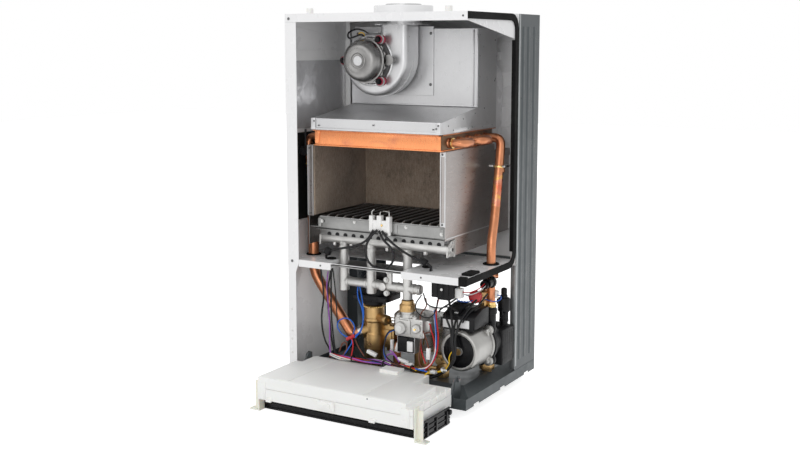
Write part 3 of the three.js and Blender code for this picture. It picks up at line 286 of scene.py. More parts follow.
def makePanPaint():
    # White inside and along the front flange, dark on the outer faces.
    look = {"outside": (0.058, 0.068, 0.073), "metal": 0.4,
            "faces": (((1, 0, 0), 0.1994, 0.0002), ((-1, 0, 0), 0.1994, 0.0002),
                      ((0, 1, 0), -0.0006, 0.0002), ((0, 0, -1), 0.366, 0.002))}
    tree, shader, tone = makeFinish("panPaint", (0.88, 0.88, 0.88), (0.83, 0.835, 0.84), (0.26, 0.38),
                                    depth=0.06, specular=0.35)
    outer = 0
    for axis, low, soft in look["faces"]:
        outer = calc(tree, "MAXIMUM", outer, band(tree, axis, low, soft=soft))
    feed(tree, shader, "Base Color", mixed(tree, outer, tone, look["outside"]))
    feed(tree, shader, "Metallic", calc(tree, "MULTIPLY", outer, look["metal"]))


def makeTrayPlastic():
    # White moulding whose hinge arms, behind the rear wall, are dark.
    look = {"arm": (0.075, 0.085, 0.09), "rearWall": -0.3204}
    tree, shader, tone = makeFinish("trayPlastic", **finishes["whitePlastic"])
    arms = band(tree, (0, 1, 0), look["rearWall"], soft=0.0004)
    feed(tree, shader, "Base Color", mixed(tree, arms, tone, look["arm"]))


def makeCopper(name, stain, stainStretch, stainRange, **look):
    # Copper that darkens and reddens in patches, as where a torch has heated it.
    tree, shader, tone = makeFinish(name, depth=0.05, metallic=1, **look)
    patches = ranged(tree, noise(tree, stretched(tree, stainStretch), 1, 3, Distortion=1.2), *stainRange)
    feed(tree, shader, "Base Color", mixed(tree, patches, tone, stain))


def makeFoil():
    # Crumpled foil: sharp creases from the cell edges and wide soft folds, up to a painted rim.
    look = {"rim": (0.80, 0.80, 0.80), "foil": (0.88, 0.88, 0.90), "metal": 0.6, "top": -0.04,
            "crease": 24, "fold": 9, "strength": 0.55, "distance": 0.006}
    tree, shader = newMaterial("foil")
    place = objectPlace(tree)
    foil = band(tree, (0, 0, -1), look["top"], soft=0.0006)
    crease = addNode(tree, "TexVoronoi", {"Vector": place, "Scale": look["crease"]},
                     feature="DISTANCE_TO_EDGE")["Distance"]
    fold = noise(tree, place, look["fold"], 5, Distortion=0.8)
    height = calc(tree, "ADD", calc(tree, "MULTIPLY", crease, 0.5), fold)
    feed(tree, shader, "Base Color", mixed(tree, foil, look["rim"], look["foil"]))
    feed(tree, shader, "Metallic", calc(tree, "MULTIPLY", foil, look["metal"]))
    feed(tree, shader, "Roughness", ranged(tree, fold, 0, 1, 0.14, 0.34))
    feed(tree, shader, "Normal", bumped(tree, height, look["strength"], look["distance"]))


def makeFibre():
    # Pressed fibre board: short fibres, pinholes and a scorched, cloudy face.
    look = {"strand": (0.42, 0.35, 0.28), "strandStretch": (300, 300, 90), "share": 0.55}
    tree, shader, tone = makeFinish("fibreBoard", (0.30, 0.235, 0.18), (0.10, 0.075, 0.056), (0.72, 0.92),
                                    cloud=11, amount=0.75, specks=0.6, depth=0.8, grain=420,
                                    sheen=0.3, specular=0.3)
    strands = noise(tree, stretched(tree, look["strandStretch"]), 1, 4, Roughness=0.75)
    share = calc(tree, "MULTIPLY", ranged(tree, strands, 0.42, 0.72), look["share"])
    feed(tree, shader, "Base Color", mixed(tree, share, tone, look["strand"]))


def makeBurnerSteel():
    # Heat-blackened bars with a painted highlight along their ridge tops, where light falls on them.
    look = {"bright": (0.13, 0.12, 0.11), "from": -0.2638, "to": 0.2}
    tree, shader, tone = makeFinish("burnerSteel", (0.055, 0.05, 0.047), (0.02, 0.018, 0.016), (0.35, 0.55),
                                    cloud=40, amount=0.7, depth=0.2, metallic=0.9)
    # painted highlight: the top of each ridge is coloured brighter than the rest of the bar
    ridgeHighlight = band(tree, (0, 0, 1), look["from"], look["to"], 0.0006, 0.001)
    feed(tree, shader, "Base Color", mixed(tree, ridgeHighlight, tone, look["bright"]))


def makeBoard():
    # Printed board: copper tracks in square steps under a green mask.
    look = {"track": (0.04, 0.22, 0.08), "pad": (0.6, 0.55, 0.4), "cells": 140}
    tree, shader, tone = makeFinish("printedBoard", (0.02, 0.13, 0.045), (0.016, 0.10, 0.035), (0.25, 0.4),
                                    coat=0.3)
    cells = addNode(tree, "TexVoronoi", {"Vector": objectPlace(tree), "Scale": look["cells"],
                                         "Randomness": 0.4},
                    distance="CHEBYCHEV")["Distance"]
    tracks = mixed(tree, calc(tree, "COMPARE", cells, 0.42, 0.06), tone, look["track"])
    feed(tree, shader, "Base Color", mixed(tree, calc(tree, "LESS_THAN", cells, 0.14), tracks, look["pad"]))


for finishName, finishLook in finishes.items():
    makeFinish(finishName, **finishLook)
makePanPaint()
makeTrayPlastic()
makeCopper("copperPipe", (0.42, 0.15, 0.07), (26, 26, 16), (0.56, 0.84), color=(0.56, 0.24, 0.125),
           shade=(0.40, 0.145, 0.07), rough=(0.26, 0.4), cloud=30, amount=0.7, stretch=(90, 90, 260))
makeCopper("copperSheet", (0.47, 0.17, 0.10), (17, 17, 26), (0.56, 0.86), color=(0.72, 0.28, 0.12),
           shade=(0.60, 0.205, 0.085), rough=(0.22, 0.36), cloud=14, amount=0.6, stretch=(500, 60, 40))
makeCopper("heatedCopper", (0.70, 0.38, 0.10), (30, 30, 34), (0.5, 0.66), color=(0.66, 0.32, 0.22),
           shade=(0.58, 0.13, 0.065), rough=(0.24, 0.38), cloud=34, amount=1, stretch=(90, 90, 200))
makeFoil()
makeFibre()
makeBurnerSteel()
makeBoard()
wireColours = {"wireBlack": (0.007, 0.007, 0.008), "wireBlue": (0.012, 0.12, 0.55),
               "wireRed": (0.55, 0.012, 0.02), "wireWhite": (0.72, 0.72, 0.72),
               "wireBrown": (0.16, 0.05, 0.028), "wirePurple": (0.33, 0.10, 0.45),
               "wireYellow": (0.85, 0.52, 0.01)}
for wireName, wireColour in wireColours.items():
    makeFinish(wireName, wireColour, [part * 0.72 for part in wireColour], (0.3, 0.44), cloud=60, patch=90,
               depth=0.04, specular=0.3)
print("finishes made:", len(materials))


# Shaping tools: every piece is drawn in chassis millimetres and moved to its place at the end.
turns = {"x": Matrix.Rotation(math.pi / 2, 4, "Y"), "y": Matrix.Rotation(-math.pi / 2, 4, "X"),
         "z": Matrix.Identity(4)}
onEdge = {"x": Matrix(((0, 0, 1, 0), (1, 0, 0, 0), (0, 1, 0, 0), (0, 0, 0, 1))),
          "y": Matrix(((1, 0, 0, 0), (0, 0, 1, 0), (0, 1, 0, 0), (0, 0, 0, 1))),
          "z": Matrix.Identity(4)}


def aim(place, way):
    # Carries what is drawn up along z to a place, pointing another way.
    return Matrix.Translation(place) @ Vector(way).to_track_quat("Z", "Y").to_matrix().to_4x4()


def around(radius, angles):
    # The points of a circle at the given angles, from its centre.
    return [(radius * math.cos(angle), radius * math.sin(angle)) for angle in angles]


def evenly(count, start=0.0):
    return [start + math.tau * i / count for i in range(count)]


diagonals = [math.radians(a) for a in (45, 135, 225, 315)]


def merge(shape, part, matrix):
    # Adds a finished part to a shape, with its faces turned outwards.
    bmesh.ops.remove_doubles(part, verts=part.verts, dist=0.0001)
    bmesh.ops.transform(part, matrix=matrix, verts=part.verts)
    bmesh.ops.recalc_face_normals(part, faces=part.faces)
    carrier = bpy.data.meshes.new("carrier")
    part.to_mesh(carrier)
    part.free()
    shape.from_mesh(carrier)
    bpy.data.meshes.remove(carrier)


def bevelEdges(part, width, least=30):
    sharp = [e for e in part.edges if len(e.link_faces) == 2
             and e.calc_face_angle(0) > math.radians(least)]
    bmesh.ops.bevel(part, geom=sharp, offset=width, segments=2, affect="EDGES", profile=0.5, material=-1)


def block(shape, low, high, edge=0.0, turn=Matrix.Identity(4)):
    part = bmesh.new()
    size = Vector(high) - Vector(low)
    middle = (Vector(high) + Vector(low)) / 2
    bmesh.ops.create_cube(part, size=1, matrix=Matrix.Diagonal((*size, 1)))
    if edge:
        bevelEdges(part, edge)
    merge(shape, part, Matrix.Translation(middle) @ turn)


def blocks(shape, *rows):
    for row in rows:
        block(shape, *row)


def cone(low, high, length, sides, edge=0.0, least=40):
    part = bmesh.new()
    bmesh.ops.create_cone(part, cap_ends=True, segments=sides, radius1=low, radius2=high, depth=length)
    if edge:
        bevelEdges(part, edge, least)
    return part


def rod(shape, axis, start, length, radius, tip=None, sides=32, edge=0.0):
    part = cone(radius, radius if tip is None else tip, length, sides, edge)
    merge(shape, part, Matrix.Translation(start) @ turns[axis] @ Matrix.Translation((0, 0, length / 2)))


def spun(profile, sides):
    # A profile of (radius, distance along z) spun a full turn.
    part = bmesh.new()
    verts = [part.verts.new((r, 0, h)) for r, h in profile]
    edges = [part.edges.new(pair) for pair in zip(verts, verts[1:])]
    bmesh.ops.spin(part, geom=verts + edges, cent=(0, 0, 0), axis=(0, 0, 1), angle=math.tau,
                   steps=sides, use_merge=True)
    return part


def lathe(shape, axis, centre, profile, sides=48):
    merge(shape, spun(profile, sides), Matrix.Translation(centre) @ turns[axis])


def ring(shape, axis, centre, inner, outer, length, sides):
    lathe(shape, axis, centre, [(inner, 0), (outer, 0), (outer, length), (inner, length), (inner, 0)], sides)


def prism(shape, outline, axis, start, end, edge=0.0):
    # An outline of (x, y), (x, z) or (y, z) pulled along the third axis.
    part = bmesh.new()
    face = part.faces.new([part.verts.new((u, v, start)) for u, v in outline])
    made = bmesh.ops.extrude_face_region(part, geom=[face])
    top = [g for g in made["geom"] if isinstance(g, bmesh.types.BMVert)]
    bmesh.ops.translate(part, verts=top, vec=(0, 0, end - start))
    if edge:
        bevelEdges(part, edge)
    merge(shape, part, onEdge[axis])


def roundOutline(u0, u1, v0, v1, r, steps=6):
    corners = [(u1 - r, v0 + r, -90), (u1 - r, v1 - r, 0), (u0 + r, v1 - r, 90), (u0 + r, v0 + r, 180)]
    quarter = [90 * i / steps for i in range(steps + 1)]
    return [(u + du, v + dv) for u, v, first in corners
            for du, dv in around(r, [math.radians(first + a) for a in quarter])]


def nut(shape, u, v, radius, turn, axis, start, end, edge=0.9):
    hexagon = [(u + du, v + dv) for du, dv in around(radius, evenly(6, turn))]
    prism(shape, hexagon, axis, start, end, edge)


def bolt(shape, axis, place, radius, height, way=1):
    # A hexagon head on a washer, standing out along the axis.
    for thick, wide, sides, edge in ((height, 1, 6, radius * 0.12), (height * 0.25, 1.35, 20, 0)):
        start = Vector(place)
        if way < 0:
            start["xyz".index(axis)] -= thick
        rod(shape, axis, start, thick, radius * wide, sides=sides, edge=edge)


def screw(shape, axis, place, radius, way=1):
    # A domed head with a cross recess.
    h = radius * 0.55
    head = spun([(0, h), (radius * 0.45, h * 0.97), (radius * 0.85, h * 0.6), (radius, h * 0.15),
                 (radius, 0), (0, 0)], 20)
    flip = Matrix.Rotation(math.pi if way < 0 else 0, 4, "X")
    merge(shape, head, Matrix.Translation(place) @ turns[axis] @ flip)
    index = "xyz".index(axis)
    across = [i for i in range(3) if i != index]
    for long, short in (across[::-1], across):
        reach = Vector((0, 0, 0))
        reach[long], reach[short], reach[index] = radius * 0.55, radius * 0.11, h * 0.08
        middle = Vector(place)
        middle[index] += way * h * 0.98
        block(shape, middle - reach, middle + reach)


def thread(shape, x, y, r):
    # The rings of a pipe thread under the base pan.
    look = {"turns": 9, "low": -17.6, "pitch": 1.8}
    for i in range(look["turns"]):
        lathe(shape, "z", (x, y, look["low"] + i * look["pitch"]), [
            (r - 0.2, 0), (r + 0.5, 0.6), (r + 0.5, 0.9), (r - 0.2, 1.5), (r - 0.2, 0)], 40)


def settle(shape, smooth):
    # Moves a drawn shape to its place and marks the edges that stay sharp.
    bmesh.ops.scale(shape, vec=(0.001, 0.001, 0.001), verts=shape.verts)
    bmesh.ops.translate(shape, verts=shape.verts, vec=spot(0, 0, 0))
    for face in shape.faces:
        face.smooth = True
    for edge in shape.edges:
        if len(edge.link_faces) == 2:
            edge.smooth = edge.calc_face_angle(0) < math.radians(smooth)


def addPiece(name, mesh, material, body, hides, crossing=None):
    # Gives a mesh its finish, sets it on its body and says which CAD node it hides.
    mesh.name = name
    mesh.materials.clear()
    mesh.materials.append(materials[material])
    piece = bpy.data.objects.new(name, mesh)
    scene.collection.objects.link(piece)
    if crossing:
        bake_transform(piece)
    else:
        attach(piece, body)
    if hides:
        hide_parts(hides)


def finishPiece(name, shape, material, body="chassis", smooth=34, hides=None):
    settle(shape, smooth)
    mesh = bpy.data.meshes.new(name)
    shape.to_mesh(mesh)
    shape.free()
    addPiece(name, mesh, material, body, hides)


def screws(name, axis, places, radius, material="darkScrew", way=-1):
    # A piece of nothing but screws of one size.
    shape = bmesh.new()
    for place in places:
        screw(shape, axis, place, radius, way)
    finishPiece(name, shape, material)


def bentRoute(corners, bend, steps=8):
    # Straight runs with a round bend at every corner.
    points = [Vector(c) for c in corners]
    route = [points[0]]
    for before, here, after in zip(points, points[1:], points[2:]):
        back, on = before - here, after - here
        reach = min(bend, back.length / 2.05, on.length / 2.05)
        start, end = here + back.normalized() * reach, here + on.normalized() * reach
        for i in range(steps + 1):
            t = i / steps
            route.append(start * (1 - t) ** 2 + here * 2 * t * (1 - t) + end * t * t)
    return route + [points[-1]]


def tubeMesh(routes, radius, soft, resolution):
    # A mesh from round-section curves; soft ones pass smoothly through their points.
    data = bpy.data.curves.new("route", "CURVE")
    data.dimensions = "3D"
    data.bevel_depth = radius / 1000
    data.bevel_resolution = resolution
    data.use_fill_caps = True
    data.resolution_u = 6
    for route in routes:
        spline = data.splines.new("BEZIER" if soft else "POLY")
        points = spline.bezier_points if soft else spline.points
        points.add(len(route) - 1)
        for point, place in zip(points, route):
            if soft:
                point.co = spot(*place)
                point.handle_left_type = point.handle_right_type = "AUTO"
            else:
                point.co = (*spot(*place), 1)
    holder = bpy.data.objects.new("route", data)
    scene.collection.objects.link(holder)
    bpy.context.view_layer.update()
    mesh = bpy.data.meshes.new_from_object(holder.evaluated_get(bpy.context.evaluated_depsgraph_get()))
    bpy.data.objects.remove(holder)
    bpy.data.curves.remove(data)
    return mesh


def tubes(name, routes, radius, material, soft=False, hides=None, slot=None, crossing=None, resolution=5,
          extra=None):
    # One piece of one or more tubes; extra adds solid shapes in chassis millimetres to it.
    mesh = tubeMesh(routes, radius, soft, resolution)
    for polygon in mesh.polygons:
        polygon.use_smooth = len(polygon.vertices) == 4
    if extra:
        shape = bmesh.new()
        extra(shape)
        settle(shape, 34)
        shape.from_mesh(mesh)
        shape.to_mesh(mesh)
        shape.free()
    addPiece(name, mesh, material, "chassis", hides, crossing)


def wires(name, routes, radius, material, resolution=3, **more):
    tubes(name, routes, radius, material, soft=True, slot="cable_sheath", resolution=resolution, **more)


# CAD pieces that keep their shape: a finish, and edges rounded by so many millimetres.
def dressNodes():
    look = {
        "panPaint": {"back_pan": 0.5}, "galvanised": {"base_pan": 0.5}, "trayPlastic": {"control_tray": 0.9},
        "whitePaint": {"side_panel_left": 0.4, "top_panel": 0.4, "divider_shelf": 0.35,
                       "expansion_vessel": 2.0},
        "foamRubber": {"chamber_gasket": 1.1}, "foil": {"foil_liner": 0.2},
        "aluminised": {"fan_mount_plate": 0.5, "flue_hood": 0.45},
        "chamberSteel": {"combustion_chamber": 0.4}, "fibreBoard": {"chamber_insulation": 1.4},
        "dullZinc": {"burner_frame": 0.3, "manifold_plate": 0.5},
        "zincSteel": {"fan_impeller": 0.2, "plate_exchanger": 0.8, "pipe_clip": 0.5},
        "whitePlastic": {"control_lid": 1.3, "pump_impeller": 0.3},
        "glossBlack": {"control_bezel": 0.9, "pressure_sensor": 0.4},
        "printedBoard": {"circuit_board": 0.2},
        "creamPlastic": {"control_foot_left": 0.6, "control_foot_right": 0.6},
        "blackPlastic": {"igniter_box": 1.2, "overheat_thermostat": 0.4}}
    for finish, softness in look.items():
        for name, width in softness.items():
            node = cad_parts[name]
            node.data.materials.clear()
            node.data.materials.append(materials[finish])
            node.modifiers.new("joined", "WELD").merge_threshold = 0.00002
            rounded = node.modifiers.new("rounded", "BEVEL")
            rounded.width = width / 1000
            rounded.segments = 2
            rounded.limit_method = "ANGLE"
            rounded.angle_limit = math.radians(40)
            rounded.harden_normals = False


dressNodes()
print("CAD pieces dressed")


# Casing trim.
def makeFlue():
    look = {"x": -7, "y": 127, "roof": 730.3, "collar": 58, "stub": 35, "low": 709.3, "top": 749.5}
    x, y, c, s, low = (look[k] for k in ("x", "y", "collar", "stub", "low"))
    shape = bmesh.new()
    lathe(shape, "z", (x, y, look["roof"]), [
        (s + 2, 0), (c, 0), (c, 13.8), (c - 0.5, 15.3), (c - 1.5, 16), (c - 2.6, 15.5), (c - 3.2, 14),
        (c - 3.5, 3), (s + 5, 2), (s + 2, 2), (s + 2, 0)], 96)
    finishPiece("flueCollar", shape, "whitePaint", hides="flue_collar")
    shape = bmesh.new()
    h = look["top"] - low
    lathe(shape, "z", (x, y, low), [
        (s - 1.5, 0), (s, 0), (s, 34), (s + 0.6, 35), (s, 36), (s, h - 0.6), (s - 0.7, h),
        (s - 1.5, h - 0.6), (s - 1.5, 0)], 80)
    # the flat flange the spigot stands on, as four bars round its bore
    blocks(shape, ((-54, 96, low), (-42, 158, low + 2), 0.4), ((28, 96, low), (34, 158, low + 2), 0.4),
           ((-42, 96, low), (28, 100, low + 2), 0.4), ((-42, 154, low), (28, 158, low + 2), 0.4))
    ring(shape, "z", (x, y, low), s - 1, s + 9, 1.8, 64)
    finishPiece("flueSpigot", shape, "aluminised", hides="flue_stub")


def makeRoofPosts():
    look = {"places": ((-182, 60), (128, 60)), "roof": 730.05, "radius": 6.8, "height": 12.3}
    r, h = look["radius"], look["height"]
    shape = bmesh.new()
    for x, y in look["places"]:
        lathe(shape, "z", (x, y, look["roof"]), [
            (0, 0), (r + 1.6, 0), (r + 1.2, 0.8), (r, 1.4), (r, h - 1), (r - 0.8, h), (3, h),
            (3, h - 2.5), (0, h - 2.5)], 32)
    finishPiece("roofPosts", shape, "whitePlastic")


def makeFrameScrews():
    look = {"flange": ((-191, 720.6), (-189.5, 244)), "rail": ((188, 722), (-122, 241), (104, 241)),
            "panFlange": ((192.5, 674), (192, 528), (191, 292)),
            "eyelets": ((-191.5, 146), (-191.8, 101), (-191.8, 84.5), (-191.8, 56.6))}
    shape = bmesh.new()
    for key, y, radius in (("flange", 0, 2.9), ("rail", 0, 2.0), ("panFlange", 215.3, 2.6)):
        for x, z in look[key]:
            screw(shape, "y", (x, y, z), radius, -1)
    finishPiece("frameScrews", shape, "darkScrew")
    shape = bmesh.new()
    for x, z in look["eyelets"]:
        ring(shape, "y", (x, -0.45, z), 0.9, 2.2, 0.5, 24)
    finishPiece("frameEyelets", shape, "zincSteel")


def makePanPressings():
    # Embossed bosses and brackets on the white back of the pan, and the ribs of its dark sides.
    look = {"back": 313.7, "rounds": ((128, 652, 38), (128, 524, 30)),
            "fields": ((118, 172, 470, 588, 20), (118, 186, 292, 446, 18)),
            "brackets": ((114, 648), (114, 518)), "side": 200, "ribs": ((238, 8), (262, 8), (291, 8)),
            "ribLow": 40, "ribHigh": 706, "tabs": (90, 250, 420, 590)}
    back, side = look["back"], look["side"]
    shape = bmesh.new()
    for x, z, r in look["rounds"]:
        lathe(shape, "y", (x, back, z), [
            (0, -7), (r * 0.62, -7), (r * 0.7, -6.4), (r * 0.92, -1), (r, 0), (0, 0)], 56)
    for field in look["fields"]:
        prism(shape, roundOutline(*field), "y", back - 5, back, 1.8)
    finishPiece("panBosses", shape, "whitePaint")
    shape = bmesh.new()
    for x, z in look["brackets"]:
        blocks(shape, ((x - 12, back - 15, z - 9), (x + 4, back - 1, z + 9), 1.0),
               ((x - 12, back - 22, z - 9), (x - 9, back - 1, z + 9), 0.6))
    finishPiece("panBrackets", shape, "whitePaint")
    screws("panBracketScrews", "y", [(x - 4, back - 15, z) for x, z in look["brackets"]], 4.2)
    shape = bmesh.new()
    for y, w in look["ribs"]:
        for way in (1, -1):
            outer, inner = way * (side + 1), way * (side - 0.4)
            outline = [(inner, y - w), (outer, y - w * 0.55), (outer, y + w * 0.55), (inner, y + w)]
            prism(shape, outline, "z", look["ribLow"], look["ribHigh"], 0.6)
    for z in look["tabs"]:
        block(shape, (side - 0.3, 220, z), (side + 0.9, 227, z + 22), 0.5)
    finishPiece("panRibs", shape, "galvanised")
    shape = bmesh.new()
    blocks(shape, ((199.6, 215.2, 30), (201.2, 221, 729), 0.4), ((189, 214.2, 24), (200.6, 215.1, 236), 0.3))
    finishPiece("panEdgeStrip", shape, "zincSheet")


def makeShelfTrim():
    # Grommets where pipes and wires pass the shelf, the gasket's end on its corner, and painted shade on the
    # left wall.
    look = {"holes": ((177, 149, 13), (-180.5, 62, 12), (-122, 40, 6.5), (84, 60, 6.5)), "shelf": 248}
    shape = bmesh.new()
    for x, y, r in look["holes"]:
        lathe(shape, "z", (x, y, look["shelf"]), [
            (r - 2.6, -3.4), (r + 2.4, -3.4), (r + 3, -2.6), (r + 2.4, -1.5), (r - 0.2, -1.3), (r - 0.2, 0.2),
            (r + 2.8, 0.2), (r + 3.4, 1.2), (r + 2.6, 2.4), (r, 2.9), (r - 2.6, 2.2), (r - 2.6, -3.4)], 40)
    finishPiece("shelfGrommets", shape, "foamRubber")
    shape = bmesh.new()
    blocks(shape, ((176, 24, 248.3), (196, 62, 253), 1.2), ((182, -0.9, 233), (197.6, 10, 250.5), 1.4))
    finishPiece("shelfSeal", shape, "foamRubber")
    # a thin black sheet on the left wall beside the chamber is painted shade
    shape = bmesh.new()
    block(shape, (-197.6, 30, 322), (-197, 196, 497), 0.2)
    finishPiece("sideWallShade", shape, "foamRubber")


makeFlue()
makeRoofPosts()
makeFrameScrews()
makePanPressings()
makeShelfTrim()
print("casing trim made")


# Fan.
fanLook = {"x": -66, "z": 640, "front": 100, "back": 157.2, "tongue": 54, "growth": 26, "left": 20,
           "right": 80, "top": 69, "bushes": (0.94, -0.9, math.pi), "bushRadius": 51}
fanX, fanZ = fanLook["x"], fanLook["z"]
fanBushes = [(fanX + u, fanZ + v) for u, v in around(fanLook["bushRadius"], fanLook["bushes"])]


def scrollOutline(inset):
    steps = 64
    points = []
    for i in range(steps + 1):
        radius = fanLook["tongue"] + fanLook["growth"] * (i / steps) ** 1.3 - inset
        points += around(radius, [math.pi / 2 + i / steps * math.pi * 1.5])
    points += [(fanLook["right"] - inset, fanLook["top"]), (fanLook["left"] + inset, fanLook["top"]),
               (fanLook["left"] + inset, 50)]
    return [(fanX + u, fanZ + v) for u, v in points]


def makeScroll():
    # Two pressed halves, each domed towards its face, rolled together at a seam.
    shape = bmesh.new()
    front, back = fanLook["front"], fanLook["back"]
    middle = (front + back) / 2
    dome = [(9.5, 0), (5.5, 0.9), (2.6, 3.2), (0.9, 7), (0.2, 12), (0, middle - front)]
    for start, way in ((front, 1), (back, -1)):
        part = bmesh.new()
        rings = [[part.verts.new((u, v, start + way * depth)) for u, v in scrollOutline(inset)]
                 for inset, depth in dome]
        for outline in rings:
            for pair in zip(outline, outline[1:] + outline[:1]):
                part.edges.new(pair)
        for first, second in zip(rings, rings[1:]):
            between = [e for e in part.edges if all(v in first for v in e.verts)
                       or all(v in second for v in e.verts)]
            bmesh.ops.bridge_loops(part, edges=between)
        part.faces.new(rings[0])
        bmesh.ops.remove_doubles(part, verts=part.verts, dist=0.01)
        merge(shape, part, onEdge["y"])
    bmesh.ops.remove_doubles(shape, verts=shape.verts, dist=0.01)
    bmesh.ops.recalc_face_normals(shape, faces=shape.faces)
    seam = scrollOutline(-1.6)[:-3] + scrollOutline(0.6)[:-3][::-1]
    prism(shape, seam, "y", middle - 1.6, middle + 1.6)
    # a shallow pressed ring round the motor
    lathe(shape, "y", (fanX, front, fanZ), [(44.5, -0.1), (46, -1.5), (49, -1.5), (50.5, -0.1),
                                            (44.5, -0.1)], 64)
    finishPiece("fanScroll", shape, "aluminised", hides="fan_housing", smooth=50)


def makeFanMotor():
    shape = bmesh.new()
    lathe(shape, "y", (fanX, 0, fanZ), [
        (0, 52.6), (9.8, 52.6), (10.6, 52.2), (11.2, 51.4), (12, 51.2), (13.4, 51.0), (14.4, 52.6),
        (16, 53.2), (18, 52.6), (21, 51.6), (26, 51.6), (30, 52.4), (34, 54.6), (37, 58), (38.8, 62.4),
        (39.4, 66), (40.0, 67), (40.4, 68), (40.4, 76), (41.2, 77), (43.4, 77.6), (43.4, 79.2), (40.6, 80),
        (40.2, 82), (0, 82)], 96)
    finishPiece("fanMotorCan", shape, "motorSteel", hides="fan_motor")
    shape = bmesh.new()
    lathe(shape, "y", (fanX, 0, fanZ), [(0, 51.9), (9.2, 51.9), (9.6, 52.2), (9.6, 52.7), (0, 52.7)])
    finishPiece("fanHubDisc", shape, "aluminised")


def makeFanBracket():
    # A wavy plate on three rubber bushes, each with a bolt through it.
    look = {"rim": 44.5, "wave": 1.6, "rimPoints": 160, "wavePoints": 8, "strayPost": 0.03}
    rim = []
    for i, angle in enumerate(evenly(look["rimPoints"])):
        rim += around(look["rim"] + look["wave"] * math.cos(i * math.tau / look["wavePoints"]), [angle])
    shape = bmesh.new()
    prism(shape, [(fanX + u, fanZ + v) for u, v in rim], "y", 82.3, 84.1, 0.3)
    stray = around(fanLook["bushRadius"], [look["strayPost"]])[0]
    for x, z in fanBushes + [(fanX + stray[0], fanZ + stray[1])]:
        rod(shape, "y", (x, 82.3, z), 1.8, 10.6, edge=0.3)
        rod(shape, "y", (x, 84, z), 15.6, 5.0, sides=24)
    finishPiece("fanBracket", shape, "motorSteel", hides="fan_motor_bracket")
    rubber, bolts = bmesh.new(), bmesh.new()
    for x, z in fanBushes:
        lathe(rubber, "y", (x, 0, z), [
            (3, 79.2), (7, 79.2), (7.8, 80), (7.8, 81.4), (5.2, 82), (5.2, 84.4), (8.6, 84.8), (9, 86),
            (8.8, 92), (6.8, 94.4), (5.6, 99.4), (3, 99.4), (3, 79.2)], 36)
        lathe(bolts, "y", (x, 0, z), [
            (0, 72.6), (3.4, 72.8), (4.8, 74), (5.2, 76), (5.2, 78.6), (6, 79.2), (0, 79.2)], 6)
        rod(bolts, "y", (x, 77.6, z), 1.4, 6.4, sides=28)
    finishPiece("fanBushes", rubber, "redRubber")
    finishPiece("fanBolts", bolts, "glossBlack")


def makeFanLeads():
    look = {"black": ((-4, 84, 47), (-8, 80, 50), (-22, 74, 46), (-33, 73, 44), (-38, 78, 52), (-36, 96, 60),
                      (-38, 130, 60), (-40, 159.9, 52)),
            "yellow": ((-4, 84, 48.6), (-3, 80, 52), (-6, 77, 54), (-12, 78, 53), (-15, 82, 50))}
    for colour, radius in (("black", 1.7), ("yellow", 1.0)):
        route = [(fanX + u, y, fanZ + v) for u, y, v in look[colour]]
        wires("fanLead" + colour.capitalize(), [route], radius, "wire" + colour.capitalize(), 5)


makeScroll()
makeFanMotor()
makeFanBracket()
makeFanLeads()
screws("mountPlateScrews", "y", [(37.5, 157.5, 693), (37, 157.5, 593), (-132, 157.5, 693),
                                 (-132, 157.5, 588)], 3.0)
print("fan made")


# Flue hood, exchanger, chamber and burner.
def makeHoodTrim():
    look = {"left": -148, "right": 139, "lip": 12, "low": 507, "front": 160, "slopeTop": 551, "top": 702,
            "rivets": ((40, 522), (100, 532), (150, 540), (190, 548), (60, 513), (120, 513), (180, 513),
                       (225, 513), (168, 570), (168, 610), (168, 650), (168, 690), (236, 600), (236, 680)),
            "holes": ((-130, 515.6), (123, 516.8), (-5.7, 520.1)),
            "screws": ((-140, 524), (130, 518), (134, 524))}
    left, right, lip, low, front, slopeTop, top = list(look.values())[:7]
    shape = bmesh.new()
    # folded return along the lip, the pressed line above it, and the lip's ends
    blocks(shape, ((left + 3, lip - 1.6, low + 0.6), (right - 3, lip - 0.05, low + 4.5), 0.4),
           ((left + 1.5, lip - 1, low + 20.2), (right - 1.5, lip - 0.05, low + 22.6), 0.4),
           ((left + 0.6, lip - 2.2, low + 0.4), (left + 10.6, lip - 0.05, low + 23), 0.5),
           ((right - 10.6, lip - 2.2, low + 0.4), (right - 0.6, lip - 0.05, low + 23), 0.5))
    # standing seams of the upper box
    blocks(shape, ((right - 9.6, front - 3.2, slopeTop + 0.8), (right - 7.6, front - 0.05, top - 2), 0.4),
           ((right - 1.4, front - 2.4, slopeTop + 0.8), (right + 0.9, front + 8, top - 1), 0.4),
           ((left + 4, front - 2.4, slopeTop + 0.4), (right - 1, front - 0.05, slopeTop + 3), 0.4),
           ((right - 0.3, 60, low + 1.4), (right + 0.8, 243, low + 9), 0.3))
    finishPiece("hoodSeams", shape, "aluminised")
    shape = bmesh.new()
    # dark discs behind the lip's holes are painted shade; the screws beside them are real
    for x, z in look["holes"]:
        rod(shape, "y", (x, lip - 2.6, z), 1.4, 1.5, sides=18, edge=0.3)
    for x, z in look["screws"]:
        screw(shape, "y", (x, lip - 2.2, z), 2.0, -1)
    finishPiece("hoodLipScrewsAndHoleShade", shape, "darkScrew")
    shape = bmesh.new()
    for y, z in look["rivets"]:
        rod(shape, "x", (right + 0.1, y, z), 0.8, 1.5, 1.0, sides=14)
    finishPiece("hoodRivets", shape, "darkScrew")


